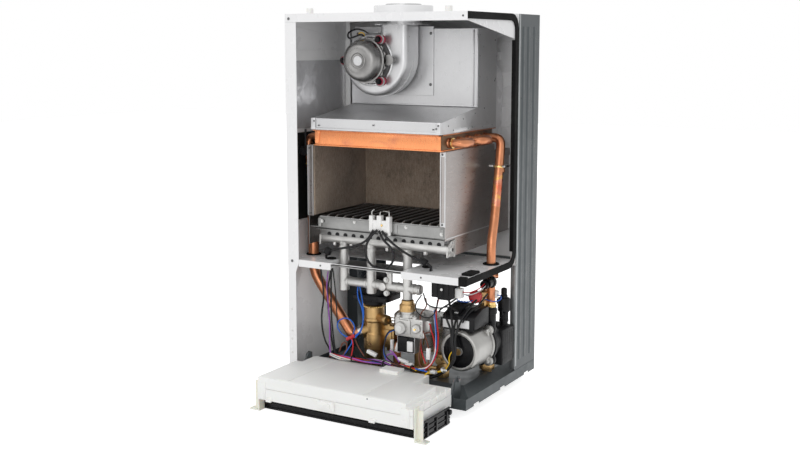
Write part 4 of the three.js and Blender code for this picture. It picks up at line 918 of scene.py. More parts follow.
def makeExchanger():
    look = {"left": -145, "right": 134, "front": 20, "back": 236, "low": 475.3, "top": 506.7, "tubeZ": 490,
            "firstY": 50, "pitch": 37.5, "tubes": 5, "radius": 8, "bendOut": 32, "fins": 66}
    x0, x1, y0, y1, z0, z1, z = list(look.values())[:7]
    rows = [look["firstY"] + i * look["pitch"] for i in range(look["tubes"])]
    shape = bmesh.new()
    for low, high in (((x0, y0, z0), (x1, y0 + 2, z1)), ((x0, y1 - 2, z0), (x1, y1, z1)),
                      ((x0, y0 + 0.4, z0), (x0 + 2, y1 - 0.4, z1)),
                      ((x1 - 2, y0 + 0.4, z0), (x1, y1 - 0.4, z1))):
        block(shape, low, high, 0.5)
    # rolled lower edge and the folded front corners
    for low, high in (((x0 - 2, y0 - 1.4), (x1 + 2, y0 + 1)), ((x0 - 2, y1 - 1), (x1 + 2, y1 + 1)),
                      ((x1 - 1, y0 - 1), (x1 + 2, y1 + 1)), ((x0 - 2, y0 - 1), (x0 + 1, y1 + 1))):
        block(shape, (*low, z0), (*high, z0 + 2.6), 0.6)
    prism(shape, [(x0, z0 + 4), (x0 + 9, z0 + 6), (x0 + 12, z1 - 2), (x0, z1 - 2)],
          "y", y0 - 0.7, y0 + 0.4, 0.3)
    prism(shape, [(x1 - 8, z0 + 6), (x1, z0 + 4), (x1, z1 - 2), (x1 - 11, z1 - 2)],
          "y", y0 - 0.7, y0 + 0.4, 0.3)
    finishPiece("exchangerJacket", shape, "copperSheet", hides="heat_exchanger")
    shape = bmesh.new()
    for x in (x0 - 0.8, x1 - 0.1):
        block(shape, (x, y0 + 1, z0 + 2.8), (x + 0.9, y1 - 1, z1 - 2), 0.2)
    finishPiece("exchangerEnds", shape, "tarnished")
    # fins between the tubes
    shape = bmesh.new()
    for i in range(look["fins"]):
        x = x0 + 5 + i * (x1 - x0 - 10) / (look["fins"] - 1)
        block(shape, (x - 0.25, y0 + 2.4, z0 + 3), (x + 0.25, y1 - 2.4, z1 - 6))
    finishPiece("exchangerFins", shape, "copperSheet")
    # five tubes chained by their end bends
    routes = [[(x0 - 6, y, z), (x1 + 6, y, z)] for y in rows]
    for i, (y, after) in enumerate(zip(rows, rows[1:])):
        side, edge = (1, x1) if i % 2 == 0 else (-1, x0)
        near, far = edge + side * 2, edge + side * look["bendOut"]
        routes.append(bentRoute([(near, y, z), (far, y, z), (far, after, z), (near, after, z)],
                                look["pitch"] / 2, 12))

    def collars(shape):
        for y in rows:
            for start in (x1, x0 - 9):
                lathe(shape, "x", (start, y, z), [
                    (7.5, 0), (9.6, 0), (9.8, 1), (9.4, 3.4), (9.0, 4), (9.3, 5), (9.3, 8), (8.6, 9),
                    (7.5, 9), (7.5, 0)], 36)
        # the flange that carries the hood
        for low, high in (((-148, 12), (139, 20.5)), ((-148, 235.5), (139, 245)), ((-148, 12), (-144.5, 245)),
                          ((133.5, 12), (139, 245))):
            block(shape, (*low, z1 - 1.8), (*high, z1), 0.3)
    tubes("exchangerTubes", routes, look["radius"], "copperPipe", extra=collars, resolution=7)
    shape = bmesh.new()
    lathe(shape, "x", (x1 + 8, rows[0], z), [(8, 0), (9.8, 0.2), (10, 1.4), (9.8, 3), (8, 3.2), (8, 0)], 36)
    finishPiece("exchangerRing", shape, "brightBrass")


def makeChamberTrim():
    # Turned flanges round the open front, and the strap along the side.
    shape = bmesh.new()
    blocks(shape, ((129.2, 26.4, 336), (131.2, 28.05, 474.5), 0.3),
           ((139.4, 24.5, 334.5), (141.1, 28.1, 474.6), 0.4),
           ((-168.1, 24.5, 334.5), (-166.4, 28.1, 474.6), 0.4),
           ((-157.4, 26.6, 336), (-155.8, 28.05, 474), 0.3), ((131, 26.9, 466), (140, 28.05, 474), 0.3),
           ((131, 26.9, 335), (140, 28.05, 343), 0.3), ((140.9, 30, 311), (141.9, 234, 313), 0.3))
    finishPiece("chamberFlanges", shape, "aluminised")
    screws("chamberScrews", "y", [(134, 26.9, 470), (134, 26.9, 339), (-163, 26.9, 469),
                                  (-163, 26.9, 338.5)], 2.2)


burnerRows = [-125 + i * 19 for i in range(14)]


def makeBurner():
    look = {"width": 8, "front": 36, "back": 206, "low": 315.3, "ridge": 338, "slots": 26,
            "bolts": ((-135, 27.2, 324.9), (-60, 28.7, 328.4), (55.7, 28.7, 328), (132.5, 27.2, 321))}
    front, back, low, ridge = (look[k] for k in ("front", "back", "low", "ridge"))
    shape = bmesh.new()
    for x in burnerRows:
        w = look["width"] / 2
        half = [(w, low), (w, 329), (w + 0.7, 330), (2.4, ridge - 1), (1.2, ridge)]
        prism(shape, [(x + u, v) for u, v in half] + [(x - u, v) for u, v in half[::-1]],
              "y", front, back, 0.3)
    for y in (front - 2, back - 0.5):
        block(shape, (burnerRows[0] - 8, y, low), (burnerRows[-1] + 8, y + 2.5, low + 8), 0.3)
    finishPiece("burnerBars", shape, "burnerSteel", hides="burner_rack")
    # the dark blocks across the ridges are painted shade where the flame slots are; no slot is cut
    step = (back - front - 12) / look["slots"]
    shape, tips, mouthShade = bmesh.new(), bmesh.new(), bmesh.new()
    for x in burnerRows:
        for k in range(look["slots"]):
            y = front + 6 + k * step
            block(shape, (x - 2.7, y, 335.2), (x + 2.7, y + step * 0.45, 338.5))
        rod(tips, "y", (x, 31, 334.2), 4.8, 1.7, sides=18, edge=0.5)
        # black discs on the air strip are painted shade where the air openings are
        lathe(mouthShade, "y", (x, 37, 298.6), [(0, 0), (4.6, 0), (4.6, 0.5), (0, 0.5)], 24)
    finishPiece("burnerSlotShade", shape, "darkScrew")
    finishPiece("burnerTips", tips, "zincSteel")
    shape = bmesh.new()
    blocks(shape, ((-144, 28.7, 312.6), (139, 29.95, 332.5), 0.35),
           ((-144, 27.9, 330.6), (139, 29.95, 332.8), 0.35), ((-150, 29.2, 307.5), (134, 42, 309), 0.3),
           ((-145, 26.8, 314), (-137, 28.9, 330.5), 0.4), ((129, 26.8, 314), (137, 28.9, 330.5), 0.4),
           ((24, 27.6, 314.4), (37, 28.9, 330.4), 0.4))
    finishPiece("burnerFrontPlate", shape, "dullZinc")
    shape = bmesh.new()
    for place in look["bolts"]:
        bolt(shape, "y", place, 2.6, 2.2, -1)
    finishPiece("burnerBolts", shape, "zincSteel")
    # the strip over the gas manifold, with black discs of painted shade where its air openings are
    shape = bmesh.new()
    block(shape, (-146, 37.4, 296.2), (133, 38.2, 312), 0.2)
    finishPiece("burnerAirStrip", shape, "dullZinc")
    finishPiece("burnerAirMouthShade", mouthShade, "blackPlastic")


def makeElectrodes():
    look = {"screw": (8, 17.8, 329), "pins": ([(-16, 23, 345), (-16, 23, 354), (-13, 26, 357)],
                                              [(2, 23, 345), (2, 24, 353), (4, 30, 354.5), (14, 38, 352)],
                                              [(22, 23, 345), (22, 23, 354), (19, 27, 357)])}
    shape = bmesh.new()
    blocks(shape, ((-20, 17.2, 316.5), (-12, 28.4, 346.4), 1.0), ((18, 17.2, 315.8), (26, 28.4, 346.4), 1.0),
           ((-3, 16.8, 320), (7, 28.2, 347.2), 1.0), ((-18, 18.6, 318), (24, 28.2, 338), 1.2),
           ((-12.5, 17.8, 316.4), (18, 24, 326), 1.2))
    for pin in look["pins"]:
        rod(shape, "z", (pin[0][0], 23, 309.8), 8, 3.4, sides=20, edge=0.8)
    finishPiece("electrodeBlock", shape, "ceramic", hides="electrode_block")
    tubes("electrodePins", look["pins"], 1.1, "zincSteel", soft=True)
    screws("electrodeScrew", "y", [look["screw"]], 2.4, "brightBrass")


makeHoodTrim()
makeExchanger()
makeChamberTrim()
makeBurner()
makeElectrodes()
print("chamber and burner made")


# Gas train.
def makeManifold():
    look = {"y": 45, "z": 290.5, "left": -147, "right": 142, "radius": 10, "crossZ": 206,
            "legs": ((-95, 187), (-32, 187), (50, 184)), "lugs": (-113, -74, 8, 92),
            "crossRings": ((-86, 10.2, 4), (-44, 10.2, 4), (-20, 10, 3), (28, 10, 3), (62, 10.4, 5),
                           (72, 10.2, 5)),
            "studs": ((7, 35, 219.5), (7, 35, 193)), "plateBolts": ((56.5, 301.5), (57, 281), (38.5, 281))}
    y, z, left, right, radius, crossZ = list(look.values())[:6]
    shape = bmesh.new()
    rod(shape, "x", (left + 3, y, z), right - left - 5, radius, sides=48, edge=0.4)
    lathe(shape, "x", (right - 3, y, z), [
        (0, 0), (9.4, 0), (9.4, 4), (8.2, 5), (6.6, 5.2), (6.6, 7.6), (5.8, 8), (0, 8)], 40)
    plate = [(34, 276), (62, 276), (62, 306), (50, 306), (34, 296)]
    prism(shape, plate, "x", left, left + 3, 0.5)
    prism(shape, plate, "x", right - 3, right, 0.5)
    block(shape, (right - 3, 61, 274), (right + 1.6, 62.4, 307), 0.3)
    for x, low in look["legs"]:
        # each leg tapers to the rod it hangs from, with a moulding line at its foot
        lathe(shape, "z", (x, y, low), [
            (0, 0), (8.2, 0), (9.4, 0.8), (9.7, 2), (9.7, 14), (9.9, 16), (9.7, 18), (9.5, 30), (9.2, 60),
            (8.9, 84), (9.6, 94), (10.8, 99), (0, 100)])
        rod(shape, "z", (x, y, 272), 6, 11.4, 10.2, sides=40)
    rod(shape, "x", (-94, y, crossZ), 174, 9, sides=44, edge=0.6)
    for x, r, wide in look["crossRings"]:
        rod(shape, "x", (x, y, crossZ), wide, r, sides=40, edge=0.7)
    lathe(shape, "y", (0, 31, crossZ), [(0, 0), (6.8, 0), (8, 1), (8, 14), (0, 14)], 36)
    lathe(shape, "y", (0, 30.6, crossZ), [(0, 0), (1.6, 0), (1.6, 0.6), (0, 0.6)], 16)
    prism(shape, roundOutline(8, 18, 206, 234, 2.2), "y", 37.5, 44, 0.8)
    for place in look["studs"]:
        rod(shape, "y", place, 6, 5.6, sides=28, edge=0.7)
    for x in look["lugs"]:
        block(shape, (x - 3, y - 9, 276), (x + 3, y - 1, 283), 1.2)
    finishPiece("manifoldCasting", shape, "castAlloy", hides="gas_manifold", smooth=40)
    shape = bmesh.new()
    for x in burnerRows:
        rod(shape, "z", (x, y, z + 9), 4.4, 3.9, sides=6)
        rod(shape, "z", (x, y, z + 13), 3.4, 2.0, 1.4, sides=20)
    finishPiece("gasNozzles", shape, "brass")
    shape = bmesh.new()
    for x, way in ((left, -1), (right, 1)):
        for yy, zz in look["plateBolts"]:
            bolt(shape, "x", (x, yy, zz), 2.6, 2.2, way)
    for place in look["studs"]:
        bolt(shape, "y", place, 3.2, 2.4, -1)
    bolt(shape, "y", (13, 37.5, 225), 1.6, 1.0, -1)
    finishPiece("manifoldScrews", shape, "zincSteel")
    shape = bmesh.new()
    rod(shape, "x", (right + 4.8, y, z), 0.6, 3.8, sides=6)
    finishPiece("manifoldPort", shape, "blackPlastic")


def makeGasValve():
    look = {"x": 50, "y": 45, "corners": ((32, 42), (68, 42), (32, 74), (68, 74)),
            "frontScrews": ((34, 146.6), (58, 146.4), (84, 143), (84, 120)),
            "sideBolts": ((56, 124), (90, 124), (56, 141), (90, 141)), "ribs": (122, 127, 138, 143)}
    x, y = look["x"], look["y"]
    shape = bmesh.new()
    nut(shape, x, y, 16.6, 0.35, "z", 164.5, 174.5)
    lathe(shape, "z", (x, y, 0), [
        (13, 162.4), (16, 162.4), (16, 164.5), (14.4, 174.5), (14.2, 176), (12.4, 176.4), (12, 183),
        (10, 183.4), (10, 162.4), (13, 162.4)], 44)
    finishPiece("gasUnion", shape, "brass", hides="gas_union_nut", smooth=28)
    shape = bmesh.new()
    blocks(shape, ((26, 36, 112), (88, 104, 150), 3.2), ((30, 33.4, 118), (62, 37, 146), 1.6),
           ((28, 35, 133.5), (86, 37.4, 136), 0.8), ((79.6, 50, 118), (95.6, 96, 146), 2.4),
           ((22, 44, 113.4), (30, 60, 122), 1.4), ((82, 38, 113.4), (90, 48, 124), 1.2))
    lathe(shape, "z", (x, 57, 149), [(0, 0), (20, 0), (20, 4), (18.8, 7), (17.4, 8), (0, 8)])
    lathe(shape, "z", (x, y, 149.8), [(0, 0), (11, 0), (11, 7), (12.4, 8), (12.4, 11.4), (11.4, 12),
                                      (0, 12)], 40)
    lathe(shape, "y", (76, 28, 132), [(0, 0), (7.2, 0), (9, 1.6), (9, 12), (0, 12)], 32)
    lathe(shape, "y", (42, 26.4, 130), [(0, 0), (10.4, 0), (12, 1.4), (12, 5), (12.8, 6), (12.8, 10),
                                        (0, 10)], 44)
    for place in look["corners"]:
        lathe(shape, "z", (*place, 148), [(0, 0), (5.4, 0), (5.4, 5), (4.6, 5.8), (0, 5.8)], 24)
    for z in look["ribs"]:
        block(shape, (24.4, 48, z), (28, 94, z + 1.4), 0.5)
    finishPiece("gasValveBody", shape, "castAlloy", hides="gas_valve", smooth=38)
    shape = bmesh.new()
    for place in look["corners"]:
        rod(shape, "z", (*place, 153.8), 1.8, 3.4, sides=24, edge=0.5)
    for xx, z in look["frontScrews"]:
        screw(shape, "y", (xx, 35.9, z), 2.6, -1)
    rod(shape, "y", (76, 26.6, 132), 1.6, 5.2, sides=6)
    rod(shape, "y", (42, 25.4, 130), 1.2, 6.6, sides=6)
    for place in look["sideBolts"]:
        bolt(shape, "x", (95.6, *place), 3.2, 2.2)
    rod(shape, "x", (89, 58, 152), 6, 3, sides=20)
    finishPiece("gasValveScrews", shape, "zincSteel")


def makeGasCoil():
    # The winding, the steel yoke that wraps it, and its terminal.
    shape = bmesh.new()
    block(shape, (30.6, 38.6, 80.4), (65.4, 77.4, 111.2), 1.2)
    finishPiece("gasCoilWinding", shape, "blackPlastic", hides="gas_valve_coil")
    shape = bmesh.new()
    blocks(shape, ((28.6, 42, 78.6), (67.4, 74, 80.6), 0.5), ((28.4, 42, 79), (30.4, 74, 111.4), 0.5),
           ((65.6, 42, 79), (67.6, 74, 111.4), 0.5), ((28.4, 42, 109.6), (67.6, 74, 111.4), 0.5))
    rod(shape, "z", (48, 58, 76), 3, 6, sides=28, edge=0.6)
    finishPiece("gasCoilYoke", shape, "aluminised")
    shape = bmesh.new()
    block(shape, (34, 35.4, 95.5), (55, 38.8, 111), 1.0)
    finishPiece("gasCoilTerminal", shape, "blackPlastic")


def makeGasInlet():
    # The valve's blank labels and jets, and the inlet pipe with its two nuts.
    look = {"x": 50, "y": 90}
    x, y = look["x"], look["y"]
    shape = bmesh.new()
    blocks(shape, ((54, 35, 84), (66, 39.2, 104), 0.7), ((41, 34.9, 128.6), (48, 36.4, 142), 0.4))
    finishPiece("gasValveLabels", shape, "blankLabel")
    shape = bmesh.new()
    block(shape, (38.4, 36.2, 106), (50, 38.2, 108.4), 0.4)
    lathe(shape, "y", (76, 24.9, 132), [(0, 0), (2.2, 0), (2.2, 1.6), (0, 1.6)], 20)
    finishPiece("gasValveJets", shape, "brightBrass")
    shape = bmesh.new()
    lathe(shape, "z", (x, y, 0), [
        (7, -19), (9, -19), (9, 28.3), (9, 84), (11.6, 85), (11.6, 92), (10.4, 93), (10.4, 111.7), (7, 111.7),
        (7, -19)], 44)
    nut(shape, x, y, 15.6, 0.2, "z", 28.6, 41.6)
    nut(shape, x, y, 14.2, 0.5, "z", 94, 106)
    finishPiece("gasInlet", shape, "brass", hides="gas_inlet_pipe", smooth=30)
    shape = bmesh.new()
    thread(shape, x, y, 9)
    finishPiece("gasTailThread", shape, "brass")


# Pipes.
diverterX, diverterY = -53, 90
flowWay = Vector((-21.06, -15.12, -7.56)).normalized()
flowPort = aim((diverterX, diverterY, 106), flowWay)


def makeFlowPipe():
    # The pipe from the exchanger's left end down to the diverter.
    look = {"x": -180.5, "y": 62}
    x, y = look["x"], look["y"]
    upper = bentRoute([(-151.3, 50, 490), (x, 50, 490), (x, 50, 440), (x, y, 380), (x, y, 322)], 18)
    lower = bentRoute([(x, y, 330), (x, y, 212), (-89.66, 63.68, 92.84), (-74.29, 74.71, 98.36)], 24)

    def union(shape):
        lathe(shape, "z", (x, y, 316), [
            (8.1, 0), (10.6, 1), (11.4, 3), (11.9, 8), (11.9, 12), (11.2, 15), (9.6, 19), (8.1, 20),
            (8.1, 0)], 44)
        lathe(shape, "z", (x, y, 338), [(8.1, 0), (9.4, 0.6), (9.4, 3), (8.1, 3.6), (8.1, 0)], 40)
    tubes("flowPipe", [upper], 8, "copperPipe", hides="flow_pipe", extra=union, resolution=8)
    tubes("flowPipeLower", [lower], 10.6, "copperPipe", resolution=9)
    shape = bmesh.new()
    for low, high, r in ((25.4, 30, 12.8), (30, 34, 11.8)):
        middle = Matrix.Translation((0, 0, (low + high) / 2))
        merge(shape, cone(r, r - 0.8, high - low, 40), flowPort @ middle)
    finishPiece("flowSolderRing", shape, "zincSteel")


def makeReturnPipe():
    # The pipe from the exchanger's back row down to the pump.
    look = {"x": 177, "y": 149, "low": 165.3}
    x, y = look["x"], look["y"]
    route = bentRoute([(140.3, 200, 490), (172, 200, 490), (172, 192, 437), (175, 168, 338), (x, y, 290),
                       (x, y, look["low"])], 22)

    def union(shape):
        merge(shape, cone(11, 10.4, 9, 40, 0.8, 50), aim((171.9, 193.6, 427.5), (0.3, -3.1, -11)))
    tubes("returnPipe", [route], 9, "copperPipe", hides="return_pipe", extra=union, resolution=9)
    tubes("returnHeated", [[(172.6, 187.5, 418), (174.4, 172.8, 358)]], 9.15, "heatedCopper", resolution=9)


def makeOtherPipes():
    # The flow pipe's heated length, the brass rings, the hot water pipe and the bypass behind the gas valve.
    look = {"heated": [(-180.5, 53.6, 422), (-180.5, 61.2, 384)], "seal": (177, 149, 164.6),
            "rings": (((172.1, 191, 433.4), (0.3, -2.7, -11), 9.2), ((-180.5, 51, 436), (0, 2.2, -11), 8.2)),
            "bypass": ([(14, 104, 152), (14, 110, 226), (40, 120, 226)], 12),
            "pumpStub": ([(150, 176, 158), (150, 176, 196), (150, 196, 214), (166, 206, 214)], 10)}
    tubes("flowHeated", [look["heated"]], 8.15, "heatedCopper", resolution=8)
    shape = bmesh.new()
    for place, way, r in look["rings"]:
        merge(shape, cone(r + 1.6, r + 1, 4, 40, 0.6, 50), aim(place, way))
    finishPiece("pipeRings", shape, "brightBrass")
    shape = bmesh.new()
    lathe(shape, "z", look["seal"], [
        (9.2, 0), (11.4, 0), (12, 1.4), (11.4, 3), (10.2, 4), (9.6, 9), (9.2, 9), (9.2, 0)], 36)
    finishPiece("returnSeal", shape, "brightBrass")
    hot = bentRoute([(0, 90, -19), (0, 90, 78), (0, 121.7, 78)], 14)
    tubes("hotWaterPipe", [hot], 8, "copperPipe", hides="hot_water_pipe", resolution=7)
    shape = bmesh.new()
    nut(shape, 0, 90, 13.4, 0.3, "z", 28.6, 39)
    nut(shape, 0, 90, 13.4, 0.9, "z", -8, 2)
    finishPiece("hotWaterNuts", shape, "brass", smooth=28)
    tubes("bypassPipe", [bentRoute(*look["bypass"]), bentRoute(*look["pumpStub"])], 5.5, "copperPipe",
          resolution=6)


# Water pieces.
def makeDiverter():
    x, y = diverterX, diverterY
    look = {"sidePort": (44, -20, 0), "clip": 21.2, "clipAngles": range(150, 400, 10)}
    shape = bmesh.new()
    lathe(shape, "z", (x, y, 0), [
        (0, 28.4), (14.2, 28.4), (15, 29.2), (15, 40.4), (15.6, 41), (19.4, 41.2), (20, 42), (20, 61.4),
        (20.3, 62.2), (21.2, 63.6), (21.5, 65), (21.5, 95), (21.2, 96.6), (20.2, 98), (20, 99), (20, 119),
        (21.2, 120.4), (21.5, 122), (21.5, 125.6), (21.2, 127.2), (20, 128.2), (20, 148.6), (19.2, 150.6),
        (16.4, 153.4), (16, 153.9), (0, 153.9)], 72)
    merge(shape, spun([(0, 4), (14.2, 4), (14.6, 20), (15, 22), (15, 26.2), (14, 27), (11.8, 27), (11.8, 22),
                       (0, 22)], 52), flowPort)
    merge(shape, spun([(0, 6), (8.8, 6), (9, 34), (9.5, 36), (9.5, 46.4), (8.6, 47.6), (4.2, 47.6), (4.2, 44),
                       (0, 44)], 40), aim((x, y, 130), look["sidePort"]))
    blocks(shape, ((-47, 94, 66), (-10, 121.4, 112), 2.0), ((-40, 91, 72), (-14, 95, 104), 1.4))
    rod(shape, "z", (-24, 99, 60), 56, 5, sides=24, edge=0.6)
    finishPiece("diverterCasting", shape, "brass", hides="diverter_body", smooth=40)
    shape = bmesh.new()
    lathe(shape, "z", (x, y, 0), [(7.4, -19), (10, -19), (10, 28.2), (12.4, 28.4), (7.4, 28.4), (7.4, -19)],
          44)
    thread(shape, x, y, 10)
    finishPiece("heatingFlowTail", shape, "brass")
    # spring clip that holds the actuator, with its catch
    shape = bmesh.new()
    block(shape, (-22, 90.2, 118), (-15, 96, 124), 1)
    rod(shape, "z", (x - 22.5, y - 4, 148), 5, 3.2, sides=18)
    arc = around(look["clip"], [math.radians(a) for a in look["clipAngles"]])
    for first, second in zip(arc, arc[1:]):
        rod(shape, "z", (x + (first[0] + second[0]) / 2, y + (first[1] + second[1]) / 2, 150.4),
            1.9, 1.6, sides=10)
    finishPiece("actuatorClip", shape, "brightBrass")


def makeActuator():
    look = {"x": -46, "y": 92, "grip": 28.4, "grips": 26}
    shape = bmesh.new()
    prism(shape, roundOutline(-86, -6, 60, 122, 11), "z", 166.4, 177.6, 1.1)
    lathe(shape, "z", (diverterX, diverterY, 0), [
        (14.2, 154.4), (20, 154.6), (22, 156.4), (22, 167), (14.2, 167), (14.2, 154.4)], 52)
    lathe(shape, "z", (look["x"], look["y"], 0), [
        (0, 177), (29, 177), (29, 205), (27.6, 211.4), (24, 213.6), (0, 213.9)], 60)
    # grips along its front half
    for u, v in around(look["grip"], evenly(look["grips"], math.pi * (1 + 1 / look["grips"])))[:13]:
        x, y = look["x"] + u, look["y"] + v
        block(shape, (x - 1, y - 1, 180), (x + 1, y + 1, 203), 0.4)
    blocks(shape, ((-84, 57.6, 167.4), (-70, 62, 176.4), 1), ((-64, 58.6, 168.4), (-28, 61, 175.6), 0.8),
           ((-22, 57.6, 167.4), (-8, 62, 176.4), 1))
    finishPiece("diverterActuator", shape, "blackPlastic", hides="diverter_actuator", smooth=36)
    # the spindle ends low enough in the actuator to keep its stroke clear
    shape = bmesh.new()
    lathe(shape, "z", (diverterX, diverterY, 0), [
        (0, 130), (4, 130), (4, 154.5), (7.6, 154.5), (8, 154.9), (8, 156.6), (7.6, 157), (4, 157), (4, 168),
        (0, 168)], 36)
    finishPiece("spindleStem", shape, "zincSteel", body="diverter_pin", hides="diverter_spindle")


def makePlateEdges():
    look = {"plates": 11, "low": 58, "pitch": 6.2}
    shape = bmesh.new()
    for i in range(look["plates"]):
        z = look["low"] + i * look["pitch"]
        block(shape, (-44.6, 122.2, z), (120.4, 122.9, z + 2.4), 0.25)
    finishPiece("plateEdges", shape, "zincSteel")


def makeColdInlet():
    look = {"x": 103, "y": 90, "drain": (78, 74)}
    x, y = look["x"], look["y"]
    shape = bmesh.new()
    lathe(shape, "z", (x, y, 0), [
        (6.6, -19), (9, -19), (9, 44), (11, 45), (11, 56), (12.6, 58), (12.6, 72), (11.4, 73.7), (0, 74),
        (0, 60), (6.6, 60), (6.6, -19)], 44)
    nut(shape, x, y, 14.2, 0.1, "z", 28.6, 43.6)
    rod(shape, "y", (x, y, 66), 31.7, 8, sides=36, edge=0.5)
    lathe(shape, "y", (x, y - 19, 62), [(0, 0), (6, 0), (7, 1), (7, 8), (6, 9), (6, 19), (0, 19)], 32)
    thread(shape, x, y, 9)
    finishPiece("coldInlet", shape, "brass", hides="cold_inlet_fitting")
    # drain cock and filter cap between the two tails
    shape = bmesh.new()
    lathe(shape, "z", (*look["drain"], 28.6), [
        (0, 0), (11, 0), (11.6, 1), (11.6, 7), (9, 9), (9, 15), (10, 16), (10, 24), (8.6, 25.4), (0, 25.4)],
        36)
    rod(shape, "x", (*look["drain"], 47), 20, 5, sides=24, edge=0.5)
    finishPiece("drainCock", shape, "brass")


pumpLook = {"x": 158, "z": 95, "boltRadius": 43}
pumpX, pumpZ = pumpLook["x"], pumpLook["z"]
pumpBolts = around(pumpLook["boltRadius"], diagonals)


def makePump():
    x, z = pumpX, pumpZ
    shape = bmesh.new()
    lathe(shape, "y", (x, 0, z), [
        (7.4, 46.3), (7.4, 51.0), (31, 51.0), (33.6, 50.6), (35.8, 50.2), (37.4, 51), (38.7, 52.6),
        (39.5, 55.2), (39.9, 59), (40, 64), (40, 119), (41.6, 120.6), (42.4, 121.4), (0, 121.8), (0, 46.3),
        (7.4, 46.3)], 96)
    for u, v in pumpBolts:
        rod(shape, "y", (x + u, 114, z + v), 7.6, 9.6, sides=28, edge=1.4)
        inX, inZ = x + u * 0.86, z + v * 0.86
        block(shape, (inX - 8, 108, inZ - 8), (inX + 8, 121.4, inZ + 8), 2.4)
    finishPiece("pumpCan", shape, "pumpCan", hides="pump_motor", smooth=42)
    shape = bmesh.new()
    lathe(shape, "y", (x, 0, z), [(8.4, 50.6), (31.6, 50.6), (32.2, 50.9), (32.2, 51.3), (8.4, 51.3),
                                  (8.4, 50.6)], 80)
    finishPiece("pumpNameRing", shape, "glossBlack")
    shape = bmesh.new()
    lathe(shape, "y", (x, 0, z), [(0, 46.2), (6.4, 46.2), (7.2, 46.8), (7.2, 51.2), (0, 51.2)])
    block(shape, (x - 5, 45.8, z - 0.7), (x + 5, 46.5, z + 0.7))
    finishPiece("pumpVentPlug", shape, "brass")
    shape = bmesh.new()
    for u, v in pumpBolts:
        lathe(shape, "y", (x + u, 109.8, z + v), [
            (0, 1), (2.4, 1), (2.4, 0), (4.2, 0), (4.6, 0.6), (4.6, 4.4), (0, 4.4)], 24)
    finishPiece("pumpScrews", shape, "zincSteel")


def makePumpBox():
    # The terminal box on the motor, with its cable ribs and blank labels.
    shape = bmesh.new()
    prism(shape, [(60.3, 137), (121.7, 137), (121.7, 171.6), (96, 171.8), (60.3, 160.8)],
          "x", 118.3, 186.7, 1.6)
    prism(shape, [(60, 161.2), (96, 172.2), (121, 172.2), (121, 174.6), (95.4, 174.6), (60, 163.6)],
          "x", 120.5, 152, 0.7)
    blocks(shape, ((122, 59.3, 133), (184, 61, 159.4), 0.6), ((156, 78, 168.6), (180, 98, 174.2), 1.2))
    for x in range(122, 146, 6):
        block(shape, (x, 96, 171.4), (x + 2.6, 121, 176.4), 0.5)
    finishPiece("pumpTerminalBox", shape, "blackPlastic", hides="pump_terminal_box")
    shape = bmesh.new()
    blocks(shape, ((119.6, 58.7, 136.4), (149.4, 59.6, 152.2), 0.25),
           ((152, 58.7, 138.6), (175.6, 59.6, 154), 0.25), ((141, 64, 160.6), (149, 73, 166.6), 0.8))
    finishPiece("pumpBoxLabels", shape, "blankLabel")


def makePumpHousing():
    look = {"inlet": (177, 149), "vent": (183, 198), "tail": (158, 175),
            "upright": (164, 173, 182, 191, 200, 209), "level": (58, 84, 108)}
    shape = bmesh.new()
    lathe(shape, "y", (pumpX, 0, pumpZ), [
        (30, 122.2), (44, 122.2), (45, 123.4), (45, 129), (41, 131), (39, 133), (39, 158), (37.6, 160),
        (30, 160), (30, 122.2)], 80)
    for u, v in pumpBolts:
        rod(shape, "y", (pumpX + u, 122.2, pumpZ + v), 9, 10.6, sides=28, edge=1)
    blocks(shape, ((128.4, 158.4, 45.4), (199.2, 213.6, 116.6), 3.2), ((164, 170, 116), (182, 186, 127), 2))
    # ribs along the visible flank
    for y in look["upright"]:
        block(shape, (197, y - 1.4, 50), (199.5, y + 1.4, 112), 0.6)
    for z in look["level"]:
        block(shape, (197, 160, z - 1.2), (199.5, 212, z + 1.2), 0.6)
    lathe(shape, "z", (*look["inlet"], 0), [
        (9.2, 95.2), (11, 95.2), (11, 150), (13, 151), (13, 160), (11, 162), (11, 164.6), (9.2, 164.6),
        (9.2, 95.2)], 44)
    lathe(shape, "z", (*look["vent"], 0), [(0, 116), (14, 116), (14, 117.4), (13, 118), (0, 118)], 36)
    finishPiece("pumpHousing", shape, "blackPlastic", hides="pump_housing", smooth=38)
    x, y = look["tail"]
    shape = bmesh.new()
    lathe(shape, "z", (x, y, 0), [(7.4, -19), (10, -19), (10, 45.2), (7.4, 45.2), (7.4, -19)], 40)
    nut(shape, x, y, 15.4, 0.4, "z", 29, 43)
    thread(shape, x, y, 10)
    finishPiece("heatingReturnTail", shape, "brass", smooth=28)


def makeAirVent():
    look = {"x": 183, "y": 198, "columns": 8, "columnRadius": 8.6, "grips": 16, "gripRadius": 5.5}
    x, y = look["x"], look["y"]
    shape = bmesh.new()
    lathe(shape, "z", (x, y, 0), [
        (0, 118.4), (8, 118.4), (8, 124), (9.4, 125), (9.4, 129), (8, 130), (8, 142.6), (10.4, 145),
        (12.2, 147), (12.5, 148.4), (12.5, 170), (11.6, 172.4), (7.2, 174.2), (7, 178.8), (0, 178.9)])
    blocks(shape, ((x - 14, y - 5, 160), (x - 10, y + 5, 170), 0.8),
           ((x - 3, y - 13.6, 140), (x + 3, y - 7, 172), 0.8))
    for u, v in around(look["columnRadius"], evenly(look["columns"])):
        rod(shape, "z", (x + u, y + v, 130), 13, 0.9, sides=10)
    finishPiece("airVentBody", shape, "blackPlastic", hides="air_vent")
    shape = bmesh.new()
    lathe(shape, "z", (x, y, 0), [
        (0, 179.4), (5.2, 179.4), (5.6, 180.4), (5.6, 190.6), (5, 192), (3.4, 192.9), (0, 192.9)], 32)
    for u, v in around(look["gripRadius"], evenly(look["grips"])):
        rod(shape, "z", (x + u, y + v, 181), 9.4, 0.55, sides=8)
    finishPiece("airVentCap", shape, "blackPlastic", body="air_vent_cap", hides="vent_cap")


